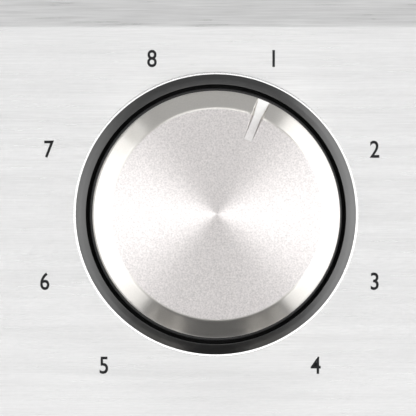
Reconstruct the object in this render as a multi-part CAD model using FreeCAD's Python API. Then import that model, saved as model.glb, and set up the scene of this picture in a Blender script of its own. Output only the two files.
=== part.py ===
import FreeCAD, Part
import math
import os

# A compact countertop oven with a drop-down glass door and a control column on its right.
# Millimetres. X runs from left to right, Y from front to back and Z up.
# The origin lies on the surface that the oven stands on, under the middle of its outside box.

RIGHT = FreeCAD.Vector(1, 0, 0)
BACK = FreeCAD.Vector(0, 1, 0)
UP = FreeCAD.Vector(0, 0, 1)

# Casing
casing_width = 420.0
casing_height = 235.0
casing_depth = 300.0
casing_corner = 12.0
shell_sheet = 1.0
back_sheet = 1.0
base_sheet = 1.0
base_lip = 10.0
shell_flange = 12.0
foot_height = 15.0
foot_radius = 14.0
foot_taper = 2.0
foot_recess_radius = 5.0
foot_inset = 26.0
spacer_length = 10.0
spacer_radius = 9.0
spacer_edge = 1.5
spacer_inset = 90.0
spacer_height = 190.0

# Vents
side_vent_count = 14
side_vent_pitch = 8.0
side_vent_width = 3.0
side_vent_height = 26.0
side_vent_top_gap = 30.0
side_vent_back_gap = 26.0
back_vent_columns = 9
back_vent_rows = 3
back_vent_pitch_x = 26.0
back_vent_pitch_z = 12.0
back_vent_length = 18.0
back_vent_width = 3.0
back_vent_height = 150.0
base_vent_count = 8
base_vent_pitch = 10.0
base_vent_length = 40.0
base_vent_width = 3.0

# Front frame and cavity
frame_sheet = 2.0
cavity_side_gap = 23.0
cavity_depth = 262.0
cavity_sheet = 1.0
cavity_corner = 6.0
cavity_floor_lip = 12.0
opening_height = 149.0
opening_border = 1.0
opening_corner = 7.0
sill_rise = 5.0
bay_border = 8.0
shield_gap = 18.0
shield_sheet = 1.0
shield_foot = 8.0

# Rack, its guides and the heating elements
rack_height = 68.0
rack_length = 236.0
rack_rim_radius = 2.5
rack_corner = 8.0
rack_wire_radius = 1.5
rack_bar_radius = 1.3
rack_wire_inset = 0.1
rack_wire_count = 15
rack_cross_inset = 55.0
rack_side_gap = 1.5
rack_door_gap = 1.0
rack_seat_gap = 0.3
catch_width = 12.0
catch_height = 10.0
catch_sheet = 1.5
rack_catch_inset = 0.4
guide_sheet = 1.0
guide_ledge = 9.0
guide_ledge_sheet = 1.2
guide_pitch = 28.0
guide_levels = 3
guide_front_gap = 10.0
guide_length = 220.0
element_radius = 4.0
element_spread = 62.0
element_middle = 5.0
upper_element_drop = 18.0
lower_element_rise = 20.0
terminal_radius = 1.5
terminal_length = 5.0
insulator_radius = 7.0
insulator_flange_radius = 9.0
insulator_flange = 3.0
insulator_outside = 9.0
insulator_inside = 3.0
insulator_seat = 2.5

# Crumb tray
tray_side_gap = 6.0
tray_length = 246.0
tray_wall = 7.0
tray_sheet = 1.0
tray_corner = 4.0
tray_rise = 14.0
tray_slot_gap = 1.0
tray_seat_gap = 0.3
tray_front_thickness = 9.5
tray_front_gap = 0.5
tray_front_rise = 4.0
tray_front_sheet = 1.5
tray_pull_width = 90.0
runner_ledge = 9.0
runner_sheet = 1.2

# Door
door_thickness = 18.0
door_sheet = 1.2
door_gap = 1.0
door_side_gap = 2.0
door_top_gap = 10.0
door_corner = 6.0
door_tray_gap = 2.0
hinge_height = 37.0
window_side_border = 46.0
window_height = 118.0
window_rise = 30.0
window_corner = 8.0
glass_thickness = 4.0
glass_overlap = 8.0
seal_lip = 0.8
seal_bite = 5.0
cover_clearance = 0.2
bumper_radius = 4.0
bumper_height = 0.7
bumper_inset = 10.0
magnet_radius = 5.0
magnet_thickness = 3.0
magnet_window_gap = 7.0
pin_radius = 2.5
pin_clearance = 0.05
hinge_inset = 14.0
ear_thickness = 4.0
ear_radius = 5.0
ear_gap = 1.0
ear_foot_width = 13.0
ear_foot_height = 16.0
ear_foot_sheet = 2.0
block_length = 8.0
spring_length = 14.0
spring_radius = 5.2
spring_bore = 3.2
handle_stand_off = 36.0
handle_radius = 7.0
handle_end_inset = 20.0
handle_below_top = 17.0
handle_post_radius = 6.0
handle_post_inset = 20.0
handle_post_socket = 3.0
handle_end_round = 2.0

# Control column
control_width = 100.0
panel_proud = 16.0
panel_sheet = 1.2
panel_fold_radius = 3.0
panel_fold_angle = 7.0
panel_corner = 2.0
housing_wall = 2.0
display_width = 70.0
display_height = 36.0
display_corner = 3.0
display_rise = 41.0
display_glass = 1.6
display_glass_proud = 0.4
display_gap = 0.15
module_width = 64.0
module_height = 30.0
module_thickness = 6.0

# Function knob
knob_height = 121.8
fold_above_knob = 30.65
knob_radius = 20.35
knob_face_radius = 17.45
knob_bevel_depth = 2.9
knob_edge = 0.6
knob_stand_off = 18.0
knob_face_thickness = 4.6
knob_wall = 1.6
knob_inset = 1.5
pointer_angle = 22.5
pointer_width = 2.0
pointer_inner_radius = 13.4
pointer_slope = 24.0
pointer_inlay = 0.4
bezel_inner_radius = 21.4
bezel_outer_radius = 22.9
bezel_proud = 1.2
bezel_edge = 0.6
cup_depth = 5.0
cup_floor = 1.5
trim_width = 0.5
trim_proud = 0.5
fit_gap = 0.05

# Small knobs and buttons
small_knob_height = 67.0
small_knob_spread = 24.0
small_knob_radius = 11.0
small_knob_face_radius = 9.2
small_knob_bevel_depth = 1.4
small_knob_stand_off = 13.0
small_knob_face_thickness = 4.0
small_knob_wall = 1.6
small_bezel_inner_radius = 11.9
small_bezel_outer_radius = 13.2
button_height = 30.0
button_spread = 22.0
button_radius = 7.5
button_proud = 2.2
button_travel = 1.5
button_clearance = 0.3
button_flange = 1.5
button_flange_thickness = 1.5
button_stem_radius = 2.0
switch_size = 6.0
switch_height = 2.0

# Encoders, boards and other inner pieces
encoder_size = 12.0
encoder_depth = 6.5
bushing_radius = 4.5
bushing_length = 4.0
shaft_radius = 3.0
shaft_clearance = 0.05
shaft_flat = 1.0
shaft_seat = 2.0
hub_radius = 6.0
nut_radius = 7.0
nut_thickness = 2.0
board_sheet = 1.6
board_border = 5.0
board_bottom = 12.0
board_top_gap = 6.0
spacer_post_radius = 3.0
spacer_post_bore = 1.5
spacer_post_inset = 6.0
power_board_length = 150.0
power_board_height = 110.0
power_board_rise = 40.0
power_board_front = 40.0
power_post_length = 6.0
relay_width = 19.0
relay_height = 15.0
relay_thickness = 16.0
relay_pitch = 26.0
relay_count = 3
core_width = 44.0
core_length = 16.0
core_height = 38.0
coil_length = 34.0
coil_height = 24.0
coil_width = 26.0
transformer_back_gap = 50.0
probe_radius = 2.0
probe_length = 25.0
probe_flange_radius = 6.0
probe_flange = 2.0
fuse_radius = 4.0
fuse_length = 18.0
fuse_foot = 1.5
gland_radius = 8.0
gland_flange_radius = 11.0
gland_flange = 3.0
gland_nut_radius = 10.5
gland_nut = 4.0
gland_length = 14.0
gland_bore_radius = 3.75
gland_inset = 34.0
gland_height = 30.0

# Screws
screw_radius = 1.9
screw_length = 10.0
screw_head_radius = 3.6
screw_head = 2.4
screw_hole_clearance = 0.2
screw_edge = 6.0
side_screw_count = 3
top_screw_count = 3

# Planes from left to right
half_width = casing_width / 2
control_left = half_width - control_width
door_left = -half_width + door_side_gap
door_right = control_left - door_side_gap
door_middle = (door_left + door_right) / 2
cavity_left = door_left + cavity_side_gap
cavity_right = door_right - cavity_side_gap
opening_left = cavity_left + opening_border
opening_right = cavity_right - opening_border
tray_left = cavity_left + tray_side_gap
tray_right = cavity_right - tray_side_gap
window_half = (door_right - door_left) / 2 - window_side_border
handle_half = (door_right - door_left) / 2 - handle_end_inset
shield_x = cavity_right + cavity_sheet + shield_gap
power_board_x = shield_x + shield_sheet + power_post_length
knob_x = control_left + control_width / 2

# Planes from bottom to top
casing_bottom = foot_height
casing_top = casing_bottom + casing_height
base_top = casing_bottom + base_sheet
hinge_z = casing_bottom + hinge_height
door_top = casing_top - door_top_gap
door_bottom = hinge_z - door_thickness / 2
opening_bottom = hinge_z + door_thickness / 2 + sill_rise
opening_top = opening_bottom + opening_height
cavity_top = opening_top + opening_border
tray_bottom = casing_bottom + tray_rise
tray_top = tray_bottom + tray_wall
cavity_bottom = tray_top + tray_slot_gap
rack_z = hinge_z + rack_height
upper_element_z = cavity_top - upper_element_drop
lower_element_z = cavity_bottom + lower_element_rise
window_bottom = hinge_z + window_rise
window_top = window_bottom + window_height
handle_z = door_top - handle_below_top
knob_z = casing_bottom + knob_height
fold_z = knob_z + fold_above_knob
small_knob_z = casing_bottom + small_knob_height
button_z = casing_bottom + button_height
display_z = fold_z + display_rise

# Planes from front to back
total_depth = handle_stand_off + door_thickness + door_gap + casing_depth + spacer_length
door_front = -total_depth / 2 + handle_stand_off
hinge_y = door_front + door_thickness / 2
door_back = door_front + door_thickness
frame_front = door_back + door_gap
frame_back = frame_front + frame_sheet
casing_back = frame_front + casing_depth
shell_back = casing_back - back_sheet
cavity_back = frame_back + cavity_depth
handle_y = door_front - handle_stand_off + handle_radius
panel_y = frame_front - panel_proud
housing_y = panel_y + panel_sheet
housing_back = housing_y + housing_wall
cup_front = panel_y + cup_depth
cup_back = cup_front + cup_floor
bushing_front = cup_back - bushing_length
board_front = cup_back + encoder_depth
board_back = board_front + board_sheet
switch_top = board_front - switch_height
knob_back = panel_y + knob_inset
knob_front = panel_y - knob_stand_off
small_knob_front = panel_y - small_knob_stand_off
rack_front = door_back + rack_door_gap
tray_pan_front = frame_front - tray_front_gap
glass_front = door_front + door_sheet + seal_lip
seal_back = glass_front + glass_thickness + seal_lip


def vec(x, y, z):
    return FreeCAD.Vector(x, y, z)


def block(x0, x1, y0, y1, z0, z1):
    """A box between two planes in each direction."""
    return Part.makeBox(x1 - x0, y1 - y0, z1 - z0, vec(x0, y0, z0))


def rod(radius, start, end):
    """A round bar from one point to another."""
    run = end - start
    return Part.makeCylinder(radius, run.Length, start, run)


def tube(radius, bore, start, end):
    """A round tube from one point to another."""
    return rod(radius, start, end).cut(rod(bore, start, end))


def outline(corners, radii):
    """A closed wire through the corners, each one rounded to its own radius."""
    joins = []
    count = len(corners)
    for i, corner in enumerate(corners):
        before = (corners[i - 1] - corner).normalize()
        after = (corners[(i + 1) % count] - corner).normalize()
        if radii[i] <= 0:
            joins.append((corner, None, corner))
            continue
        half = before.getAngle(after) / 2
        back = radii[i] / math.tan(half)
        middle = (before + after).normalize() * (radii[i] / math.sin(half) - radii[i])
        joins.append((corner + before * back, corner + middle, corner + after * back))
    edges = []
    for i, (start, middle, end) in enumerate(joins):
        if middle is not None:
            edges.append(Part.Arc(start, middle, end).toShape())
        following = joins[(i + 1) % count][0]
        if end.distanceToPoint(following) > 1e-6:
            edges.append(Part.LineSegment(end, following).toShape())
    return Part.Wire(edges)


def prism(corners, radii, push):
    """The outline's face, pushed along a vector."""
    return Part.Face(outline(corners, radii)).extrude(push)


def plate(x0, x1, z0, z1, y0, y1, radius=0.0):
    """An upright plate that faces the front, with round corners."""
    corners = [vec(x0, y0, z0), vec(x1, y0, z0), vec(x1, y0, z1), vec(x0, y0, z1)]
    return prism(corners, [radius] * 4, BACK * (y1 - y0))


def slab(x0, x1, y0, y1, z0, z1, radius):
    """A flat-lying plate with round corners."""
    corners = [vec(x0, y0, z0), vec(x1, y0, z0), vec(x1, y1, z0), vec(x0, y1, z0)]
    return prism(corners, [radius] * 4, UP * (z1 - z0))


def turned(profile, radii, base, axis, side):
    """A solid turned round an axis, from points of radius and distance along the axis."""
    corners = [base + side * r + axis * along for r, along in profile]
    return Part.Face(outline(corners, radii)).revolve(base, axis, 360)


def arch(half, bottom, top, radius, y0, y1):
    """A solid with the casing's section: flat below, with two round top edges."""
    corners = [vec(-half, y0, bottom), vec(half, y0, bottom), vec(half, y0, top), vec(-half, y0, top)]
    return prism(corners, [0, 0, radius, radius], BACK * (y1 - y0))


def slot_x(y, z, width, height, x0, x1):
    """A cutter for an upright slot with round ends that goes through from left to right."""
    corners = [
        vec(x0, y - width / 2, z),
        vec(x0, y + width / 2, z),
        vec(x0, y + width / 2, z + height),
        vec(x0, y - width / 2, z + height),
    ]
    return prism(corners, [width * 0.49] * 4, RIGHT * (x1 - x0))


def fuse_all(shapes):
    """One solid from pieces that overlap or touch."""
    return shapes[0].multiFuse(shapes[1:]).removeSplitter()


def screw(head, axis):
    """A pan-head screw; head is the point under its head and axis points into the work."""
    shank = rod(screw_radius, head, head + axis * screw_length)
    return shank.fuse(rod(screw_head_radius, head - axis * screw_head, head)).removeSplitter()


def screw_hole(head, axis):
    """A cutter for one screw's clearance hole."""
    return rod(screw_radius + screw_hole_clearance, head - axis, head + axis * screw_length)


def back_screw_points():
    """Where the back panel is screwed to the shell's flange: both sides and the top."""
    points = []
    side = half_width - screw_edge
    low = casing_bottom + 2 * screw_edge
    high = casing_top - casing_corner - 2 * screw_edge
    for i in range(side_screw_count):
        z = low + (high - low) * i / (side_screw_count - 1)
        points.append(vec(-side, casing_back, z))
        points.append(vec(side, casing_back, z))
    reach = half_width - casing_corner - 4 * screw_edge
    for i in range(top_screw_count):
        x = -reach + 2 * reach * i / (top_screw_count - 1)
        points.append(vec(x, casing_back, casing_top - screw_edge))
    return points


def foot_points():
    """The middle of each foot, on the base plate's underside."""
    points = []
    for x in (-half_width + foot_inset, half_width - foot_inset):
        for y in (frame_back + foot_inset, shell_back - foot_inset):
            points.append(vec(x, y, casing_bottom))
    return points


def foot_screw_head(point):
    """The point under the head of the screw that holds one foot."""
    return point - UP * (screw_length - base_sheet - screw_head)


def outer_shell():
    """Top and both sides in one folded sheet, with a flange inside its rear edge."""
    skin = arch(half_width, casing_bottom, casing_top, casing_corner, frame_back, shell_back)
    inner_half = half_width - shell_sheet
    inner_top = casing_top - shell_sheet
    hollow = arch(inner_half, casing_bottom - 1, inner_top, casing_corner - shell_sheet,
                  frame_back - 1, shell_back - shell_sheet)
    flange_hole = arch(half_width - shell_flange, casing_bottom - 1, casing_top - shell_flange, 1,
                       frame_back, shell_back + 1)
    shell = skin.cut(hollow).cut(flange_hole)
    slots = []
    for i in range(side_vent_count):
        y = shell_back - side_vent_back_gap - i * side_vent_pitch
        z = casing_top - side_vent_top_gap - side_vent_height
        slots.append(slot_x(y, z, side_vent_width, side_vent_height, -half_width - 1, half_width + 1))
    for point in back_screw_points():
        slots.append(screw_hole(point, -BACK))
    return shell.cut(Part.makeCompound(slots))


def back_panel():
    """Flat rear sheet with rows of slots, the cord gland's hole and its screw holes."""
    sheet = arch(half_width, casing_bottom, casing_top, casing_corner, shell_back, casing_back)
    cuts = [screw_hole(point, -BACK) for point in back_screw_points()]
    for row in range(back_vent_rows):
        z = casing_bottom + back_vent_height + row * back_vent_pitch_z
        for column in range(back_vent_columns):
            x = (column - (back_vent_columns - 1) / 2) * back_vent_pitch_x
            half = back_vent_length / 2
            cuts.append(plate(x - half, x + half, z, z + back_vent_width, shell_back - 1,
                              casing_back + 1, back_vent_width * 0.49))
    middle = gland_point()
    cuts.append(rod(gland_radius + fit_gap, middle - BACK * 2 * back_sheet, middle + BACK))
    return sheet.cut(Part.makeCompound(cuts))


def base_plate():
    """Bottom sheet between the shell's sides, with turned-up edges, slots and foot holes."""
    half = half_width - shell_sheet
    sheet = block(-half, half, frame_back, shell_back - shell_sheet, casing_bottom, base_top)
    left = block(-half, -half + base_sheet, frame_back, shell_back - shell_sheet,
                 casing_bottom, base_top + base_lip)
    right = block(half - base_sheet, half, frame_back, shell_back - shell_sheet,
                  casing_bottom, base_top + base_lip)
    cuts = [screw_hole(foot_screw_head(point), UP) for point in foot_points()]
    for x in (door_middle, half_width - control_width / 2):
        for i in range(base_vent_count):
            y = (i - (base_vent_count - 1) / 2) * base_vent_pitch
            cuts.append(block(x - base_vent_length / 2, x + base_vent_length / 2,
                              y - base_vent_width / 2, y + base_vent_width / 2,
                              casing_bottom - 1, base_top + 1))
    return fuse_all([sheet, left, right]).cut(Part.makeCompound(cuts))


def hinge_places():
    """The middle of each hinge ear, on the door's axis."""
    return [door_left + hinge_inset, door_right - hinge_inset]


def front_frame():
    """Front sheet with the oven's opening, the tray's slot, the control bay and hinge slots."""
    sheet = arch(half_width, casing_bottom, casing_top, casing_corner, frame_front, frame_back)
    front = frame_front - 1
    rear = frame_back + 1
    cuts = [
        plate(opening_left, opening_right, opening_bottom, opening_top, front, rear, opening_corner),
        plate(tray_left - rack_side_gap, tray_right + rack_side_gap, tray_bottom - tray_slot_gap,
              tray_top + tray_slot_gap, front, rear, tray_slot_gap),
        plate(control_left + bay_border, half_width - bay_border, casing_bottom + bay_border,
              casing_top - casing_corner, front, rear, bay_border / 2),
    ]
    for x in hinge_places():
        reach_x = ear_thickness / 2 + rack_seat_gap
        reach_z = ear_radius + rack_seat_gap
        cuts.append(block(x - reach_x, x + reach_x, front, rear, hinge_z - reach_z, hinge_z + reach_z))
    return sheet.cut(Part.makeCompound(cuts))


def panel_block(inset, x0, x1, y_back, z0, z1):
    """A solid whose front is the folded panel face, moved back by inset."""
    lean = math.radians(panel_fold_angle)
    radius = panel_fold_radius - inset
    front = panel_y + inset
    corner_z = fold_z + radius * math.tan(lean / 2)
    high_y = front + (z1 - corner_z) * math.tan(lean)
    corners = [
        vec(x0, front, z0),
        vec(x0, front, corner_z),
        vec(x0, high_y, z1),
        vec(x0, y_back, z1),
        vec(x0, y_back, z0),
    ]
    return prism(corners, [0, radius, 0, 0, 0], RIGHT * (x1 - x0))


def column_outline(inset):
    """The control column seen from the front: its outer top corner follows the casing's."""
    x0 = control_left + inset
    x1 = half_width - inset
    z0 = casing_bottom + inset
    z1 = casing_top - inset
    y0 = panel_y - 1
    corners = [vec(x0, y0, z0), vec(x1, y0, z0), vec(x1, y0, z1), vec(x0, y0, z1)]
    radii = [panel_corner, panel_corner, casing_corner - inset, panel_corner]
    return prism(corners, radii, BACK * (panel_proud + 2))


def leaning(shape):
    """A shape made upright on the panel's plane, leaned back with the panel's upper part."""
    leaned = shape.copy()
    leaned.rotate(vec(0, panel_y + panel_fold_radius, fold_z), RIGHT, -panel_fold_angle)
    return leaned


def display_plate(grow, y0, y1):
    """An upright plate of the display window's outline, grown by a clearance."""
    half_x = display_width / 2 + grow
    half_z = display_height / 2 + grow
    return plate(knob_x - half_x, knob_x + half_x, display_z - half_z, display_z + half_z,
                 y0, y1, display_corner + grow)


def small_knob_places():
    return [knob_x - small_knob_spread, knob_x + small_knob_spread]


def button_places():
    return [knob_x - button_spread, knob_x + button_spread]


def panel_cuts(y0, y1):
    """Cutters for the knob cups, buttons and display, through the plate or the housing's wall."""
    cuts = [rod(bezel_outer_radius + fit_gap, vec(knob_x, y0, knob_z), vec(knob_x, y1, knob_z))]
    for x in small_knob_places():
        cuts.append(rod(small_bezel_outer_radius + fit_gap, vec(x, y0, small_knob_z),
                        vec(x, y1, small_knob_z)))
    for x in button_places():
        cuts.append(rod(button_radius + button_clearance, vec(x, y0, button_z), vec(x, y1, button_z)))
    return cuts


def control_plate():
    """Brushed front plate of the column, folded so that its upper part leans back."""
    sheet = panel_block(0, control_left, half_width, frame_front, casing_bottom, casing_top)
    behind = panel_block(panel_sheet, control_left - 1, half_width + 1, frame_front + 1,
                         casing_bottom - 1, casing_top + 1)
    cuts = panel_cuts(panel_y - 1, housing_y + 1)
    cuts.append(leaning(display_plate(display_gap, panel_y - 1, housing_y + 1)))
    return sheet.cut(behind).common(column_outline(0)).cut(Part.makeCompound(cuts))


def control_housing():
    """Moulded box behind the control plate, open towards the oven's electrical bay."""
    outside = panel_block(panel_sheet, control_left, half_width, frame_front, casing_bottom, casing_top)
    inside = panel_block(panel_sheet + housing_wall, control_left, half_width, frame_front + 1,
                         casing_bottom, casing_top)
    box = outside.common(column_outline(0)).cut(inside.common(column_outline(housing_wall)))
    cuts = panel_cuts(housing_y - 1, housing_back + 1)
    half_x = module_width / 2 + display_gap
    half_z = module_height / 2 + display_gap
    cuts.append(leaning(plate(knob_x - half_x, knob_x + half_x, display_z - half_z,
                              display_z + half_z, housing_y - 1, housing_back + 2, 1)))
    return box.cut(Part.makeCompound(cuts))


def display_window():
    """Dark window in the panel's leaning part, just proud of the plate."""
    return leaning(display_plate(0, panel_y - display_glass_proud,
                                 panel_y - display_glass_proud + display_glass))


def display_module():
    """The display's own glass and board, behind its window."""
    front = panel_y - display_glass_proud + display_glass
    half_x = module_width / 2
    half_z = module_height / 2
    return leaning(plate(knob_x - half_x, knob_x + half_x, display_z - half_z, display_z + half_z,
                         front, front + module_thickness, 0.8))


def element_places():
    """Front and rear element lines, as distances along Y."""
    return [element_middle - element_spread, element_middle + element_spread]


def element_lines():
    """Where each heating element lies, as Y and Z."""
    lines = []
    for z in (upper_element_z, lower_element_z):
        for y in element_places():
            lines.append((y, z))
    return lines


def probe_point():
    """Where the temperature probe comes through the cavity's right wall."""
    return vec(cavity_right, element_middle, upper_element_z)


def cavity_liner():
    """Bright steel lining: sides, top and back in one box, with a lip round its open floor."""
    outer = plate(cavity_left - cavity_sheet, cavity_right + cavity_sheet, cavity_bottom,
                  cavity_top + cavity_sheet, frame_back, cavity_back + cavity_sheet,
                  cavity_corner + cavity_sheet)
    floor_top = cavity_bottom + cavity_sheet
    inner = plate(cavity_left, cavity_right, floor_top, cavity_top, frame_back - 1, cavity_back,
                  cavity_corner)
    floor_hole = block(cavity_left + cavity_floor_lip, cavity_right - cavity_floor_lip,
                       frame_back + cavity_floor_lip, cavity_back - cavity_floor_lip,
                       cavity_bottom - 1, floor_top + 1)
    cuts = [floor_hole]
    for y, z in element_lines():
        start = vec(cavity_left - 2 * cavity_sheet, y, z)
        end = vec(cavity_right + 2 * cavity_sheet, y, z)
        cuts.append(rod(insulator_radius + fit_gap, start, end))
    hole = probe_point()
    cuts.append(rod(probe_radius + fit_gap, hole - RIGHT, hole + RIGHT * 2 * cavity_sheet))
    return outer.cut(inner).cut(Part.makeCompound(cuts))


def heat_shield():
    """Upright sheet between the hot cavity and the electrical bay, with a foot along the base."""
    top = casing_top - shell_sheet
    sheet = block(shield_x, shield_x + shield_sheet, frame_back, shell_back - shell_sheet, base_top, top)
    foot = block(shield_x, shield_x + shield_sheet + shield_foot, frame_back, shell_back - shell_sheet,
                 base_top, base_top + shield_sheet)
    return fuse_all([sheet, foot])


def guide_heights():
    """Heights of the rack's centre line on each pair of ledges; the rack lies on the middle one."""
    middle = (guide_levels - 1) / 2
    return [rack_z + (i - middle) * guide_pitch for i in range(guide_levels)]


def rack_guide(side):
    """One pressed guide on a cavity wall; side is -1 on the left and 1 on the right."""
    wall = cavity_left if side < 0 else cavity_right
    front = frame_back + guide_front_gap
    back = front + guide_length
    heights = guide_heights()
    drop = rack_rim_radius + rack_seat_gap + guide_ledge_sheet
    ribs = []
    sheet_low = heights[0] - drop
    sheet_high = heights[-1] + drop
    inner = wall - side * guide_sheet
    ledge_end = inner - side * guide_ledge
    ribs.append(block(min(wall, inner), max(wall, inner), front, back, sheet_low, sheet_high))
    for z in heights:
        low = z - drop
        ribs.append(block(min(wall, ledge_end), max(wall, ledge_end), front, back,
                          low, low + guide_ledge_sheet))
    return fuse_all(ribs)


def rack_guides():
    return Part.makeCompound([rack_guide(-1), rack_guide(1)])


def wire_rack():
    """Plated wire rack: a round rim, wires from front to back over two cross bars, two catches."""
    rim = rack_rim_radius
    left = cavity_left + guide_sheet + rack_side_gap + rim
    right = cavity_right - guide_sheet - rack_side_gap - rim
    front = rack_front + rim
    back = rack_front + rack_length - rim
    corners = [vec(left, front, rack_z), vec(right, front, rack_z),
               vec(right, back, rack_z), vec(left, back, rack_z)]
    section = Part.Wire(Part.makeCircle(rim, vec(left, front + rack_corner, rack_z), BACK))
    wires = [outline(corners, [rack_corner] * 4).makePipeShell([section], True, False)]
    wire_z = rack_z + rim - rack_wire_radius - rack_wire_inset
    bar_z = rack_z - rim + rack_bar_radius + rack_wire_inset
    step = (right - left) / (rack_wire_count + 1)
    for i in range(rack_wire_count):
        x = left + step * (i + 1)
        wires.append(rod(rack_wire_radius, vec(x, front, wire_z), vec(x, back, wire_z)))
    for y in (front + rack_cross_inset, back - rack_cross_inset):
        wires.append(rod(rack_bar_radius, vec(left, y, bar_z), vec(right, y, bar_z)))
    catch_front = rack_front + rack_catch_inset
    for x in magnet_places():
        wires.append(block(x - catch_width / 2, x + catch_width / 2, catch_front,
                           catch_front + catch_sheet, rack_z - catch_height / 2,
                           rack_z + catch_height / 2))
    return fuse_all(wires)


def heating_element(y, z):
    """A straight sheathed element with a terminal pin at each end."""
    left = cavity_left + insulator_inside - insulator_seat
    right = cavity_right - insulator_inside + insulator_seat
    reach = cavity_sheet + insulator_outside + terminal_length
    sheath = rod(element_radius, vec(left, y, z), vec(right, y, z))
    pin = rod(terminal_radius, vec(cavity_left - reach, y, z), vec(cavity_right + reach, y, z))
    return sheath.fuse(pin).removeSplitter()


def upper_elements():
    return Part.makeCompound([heating_element(y, upper_element_z) for y in element_places()])


def lower_elements():
    return Part.makeCompound([heating_element(y, lower_element_z) for y in element_places()])


def insulator(wall, side, y, z):
    """Ceramic bush through a cavity wall; side points away from the cavity."""
    outside = cavity_sheet + insulator_outside
    axis = RIGHT * side
    centre = vec(wall, y, z)
    pin_hole = terminal_radius + fit_gap
    tube_hole = element_radius + fit_gap
    profile = [
        (tube_hole, -insulator_inside), (insulator_radius, -insulator_inside),
        (insulator_radius, cavity_sheet), (insulator_flange_radius, cavity_sheet),
        (insulator_flange_radius, cavity_sheet + insulator_flange),
        (insulator_radius, cavity_sheet + insulator_flange), (insulator_radius, outside),
        (pin_hole, outside), (pin_hole, 0), (tube_hole, 0),
    ]
    return turned(profile, [0] * len(profile), centre, axis, UP)


def element_insulators():
    bushes = []
    for y, z in element_lines():
        bushes.append(insulator(cavity_left, -1, y, z))
        bushes.append(insulator(cavity_right, 1, y, z))
    return Part.makeCompound(bushes)


def temperature_probe():
    """Sensor tube through the cavity's right wall, with its flange outside."""
    hole = probe_point()
    tip = hole - RIGHT * probe_length
    outside = hole + RIGHT * cavity_sheet
    stem = rod(probe_radius, tip, outside)
    flange = rod(probe_flange_radius, outside, outside + RIGHT * probe_flange)
    return stem.fuse(flange).removeSplitter()


def thermal_fuse():
    """Thermal cut-out clipped to the top of the cavity."""
    z = cavity_top + cavity_sheet
    x = door_middle
    y = element_middle
    foot = block(x - fuse_length / 2, x + fuse_length / 2, y - fuse_radius * 2, y + fuse_radius * 2,
                 z, z + fuse_foot)
    barrel = rod(fuse_radius, vec(x - fuse_length / 2, y, z + fuse_radius),
                 vec(x + fuse_length / 2, y, z + fuse_radius))
    return fuse_all([foot, barrel])


def crumb_tray():
    """Shallow pan under the cavity's open floor, with round corners seen from above."""
    back = tray_pan_front + tray_length
    outer = slab(tray_left, tray_right, tray_pan_front, back, tray_bottom, tray_top, tray_corner)
    inner = slab(tray_left + tray_sheet, tray_right - tray_sheet, tray_pan_front + tray_sheet,
                 back - tray_sheet, tray_bottom + tray_sheet, tray_top + 1, tray_corner - tray_sheet)
    return outer.cut(inner)


def tray_front():
    """Folded steel front of the tray, hollow behind, with a finger recess in its lower edge."""
    low = casing_bottom + tray_front_rise
    high = door_bottom - door_tray_gap
    front = tray_pan_front - tray_front_thickness
    outer = plate(door_left, door_right, low, high, front, tray_pan_front, panel_corner)
    inner = block(door_left + tray_front_sheet, door_right - tray_front_sheet,
                  front + tray_front_sheet, tray_pan_front - tray_front_sheet,
                  low - 1, high - tray_front_sheet)
    half = tray_pull_width / 2
    pull = plate(door_middle - half, door_middle + half, low - panel_corner * 2, low + panel_corner * 2,
                 front - 1, front + tray_front_sheet * 2, panel_corner)
    return outer.cut(inner).cut(pull)


def tray_runners():
    """Two angle rails on the base plate that carry the tray's edges."""
    rails = []
    ledge_top = tray_bottom - tray_seat_gap
    back = tray_pan_front + tray_length
    for side, edge in ((-1, tray_left), (1, tray_right)):
        web_inner = edge + side * rack_side_gap
        web_outer = web_inner + side * runner_sheet
        ledge_inner = edge - side * runner_ledge
        web = block(min(web_inner, web_outer), max(web_inner, web_outer), frame_back, back,
                    base_top, tray_top)
        ledge = block(min(ledge_inner, web_outer), max(ledge_inner, web_outer), frame_back, back,
                      ledge_top - runner_sheet, ledge_top)
        rails.append(fuse_all([web, ledge]))
    return Part.makeCompound(rails)


def door_section(inset, back_y, x0, x1):
    """The door's outside moved in by inset: a round hinge edge below, then straight up to its top."""
    radius = door_thickness / 2 - inset
    low = vec(x0, hinge_y - radius, hinge_z)
    turn = vec(x0, hinge_y + radius, hinge_z)
    top = door_top - inset
    corners = [turn, vec(x0, back_y, top), vec(x0, low.y, top), low]
    if back_y > turn.y:
        corners.insert(1, vec(x0, back_y, hinge_z))
    path = [Part.Arc(low, vec(x0, hinge_y, hinge_z - radius), turn).toShape()]
    for i in range(len(corners) - 1):
        path.append(Part.LineSegment(corners[i], corners[i + 1]).toShape())
    return Part.Face(Part.Wire(path)).extrude(RIGHT * (x1 - x0))


def window_plate(grow, y0, y1):
    """An upright plate of the door window's outline, grown on every side."""
    half = window_half + grow
    return plate(door_middle - half, door_middle + half, window_bottom - grow, window_top + grow,
                 y0, y1, window_corner + grow)


def ear_notch(x):
    """A cutter for the room that one hinge ear needs in the door's round edge."""
    reach = ear_thickness / 2 + ear_gap
    clear = ear_radius + ear_gap
    return block(x - reach, x + reach, hinge_y - clear, door_back + 1,
                 hinge_z - door_thickness, hinge_z + clear)


def handle_post_places():
    reach = handle_half - handle_post_inset
    return [door_middle - reach, door_middle + reach]


def magnet_places():
    reach = window_half + magnet_window_gap
    return [door_middle - reach, door_middle + reach]


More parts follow.
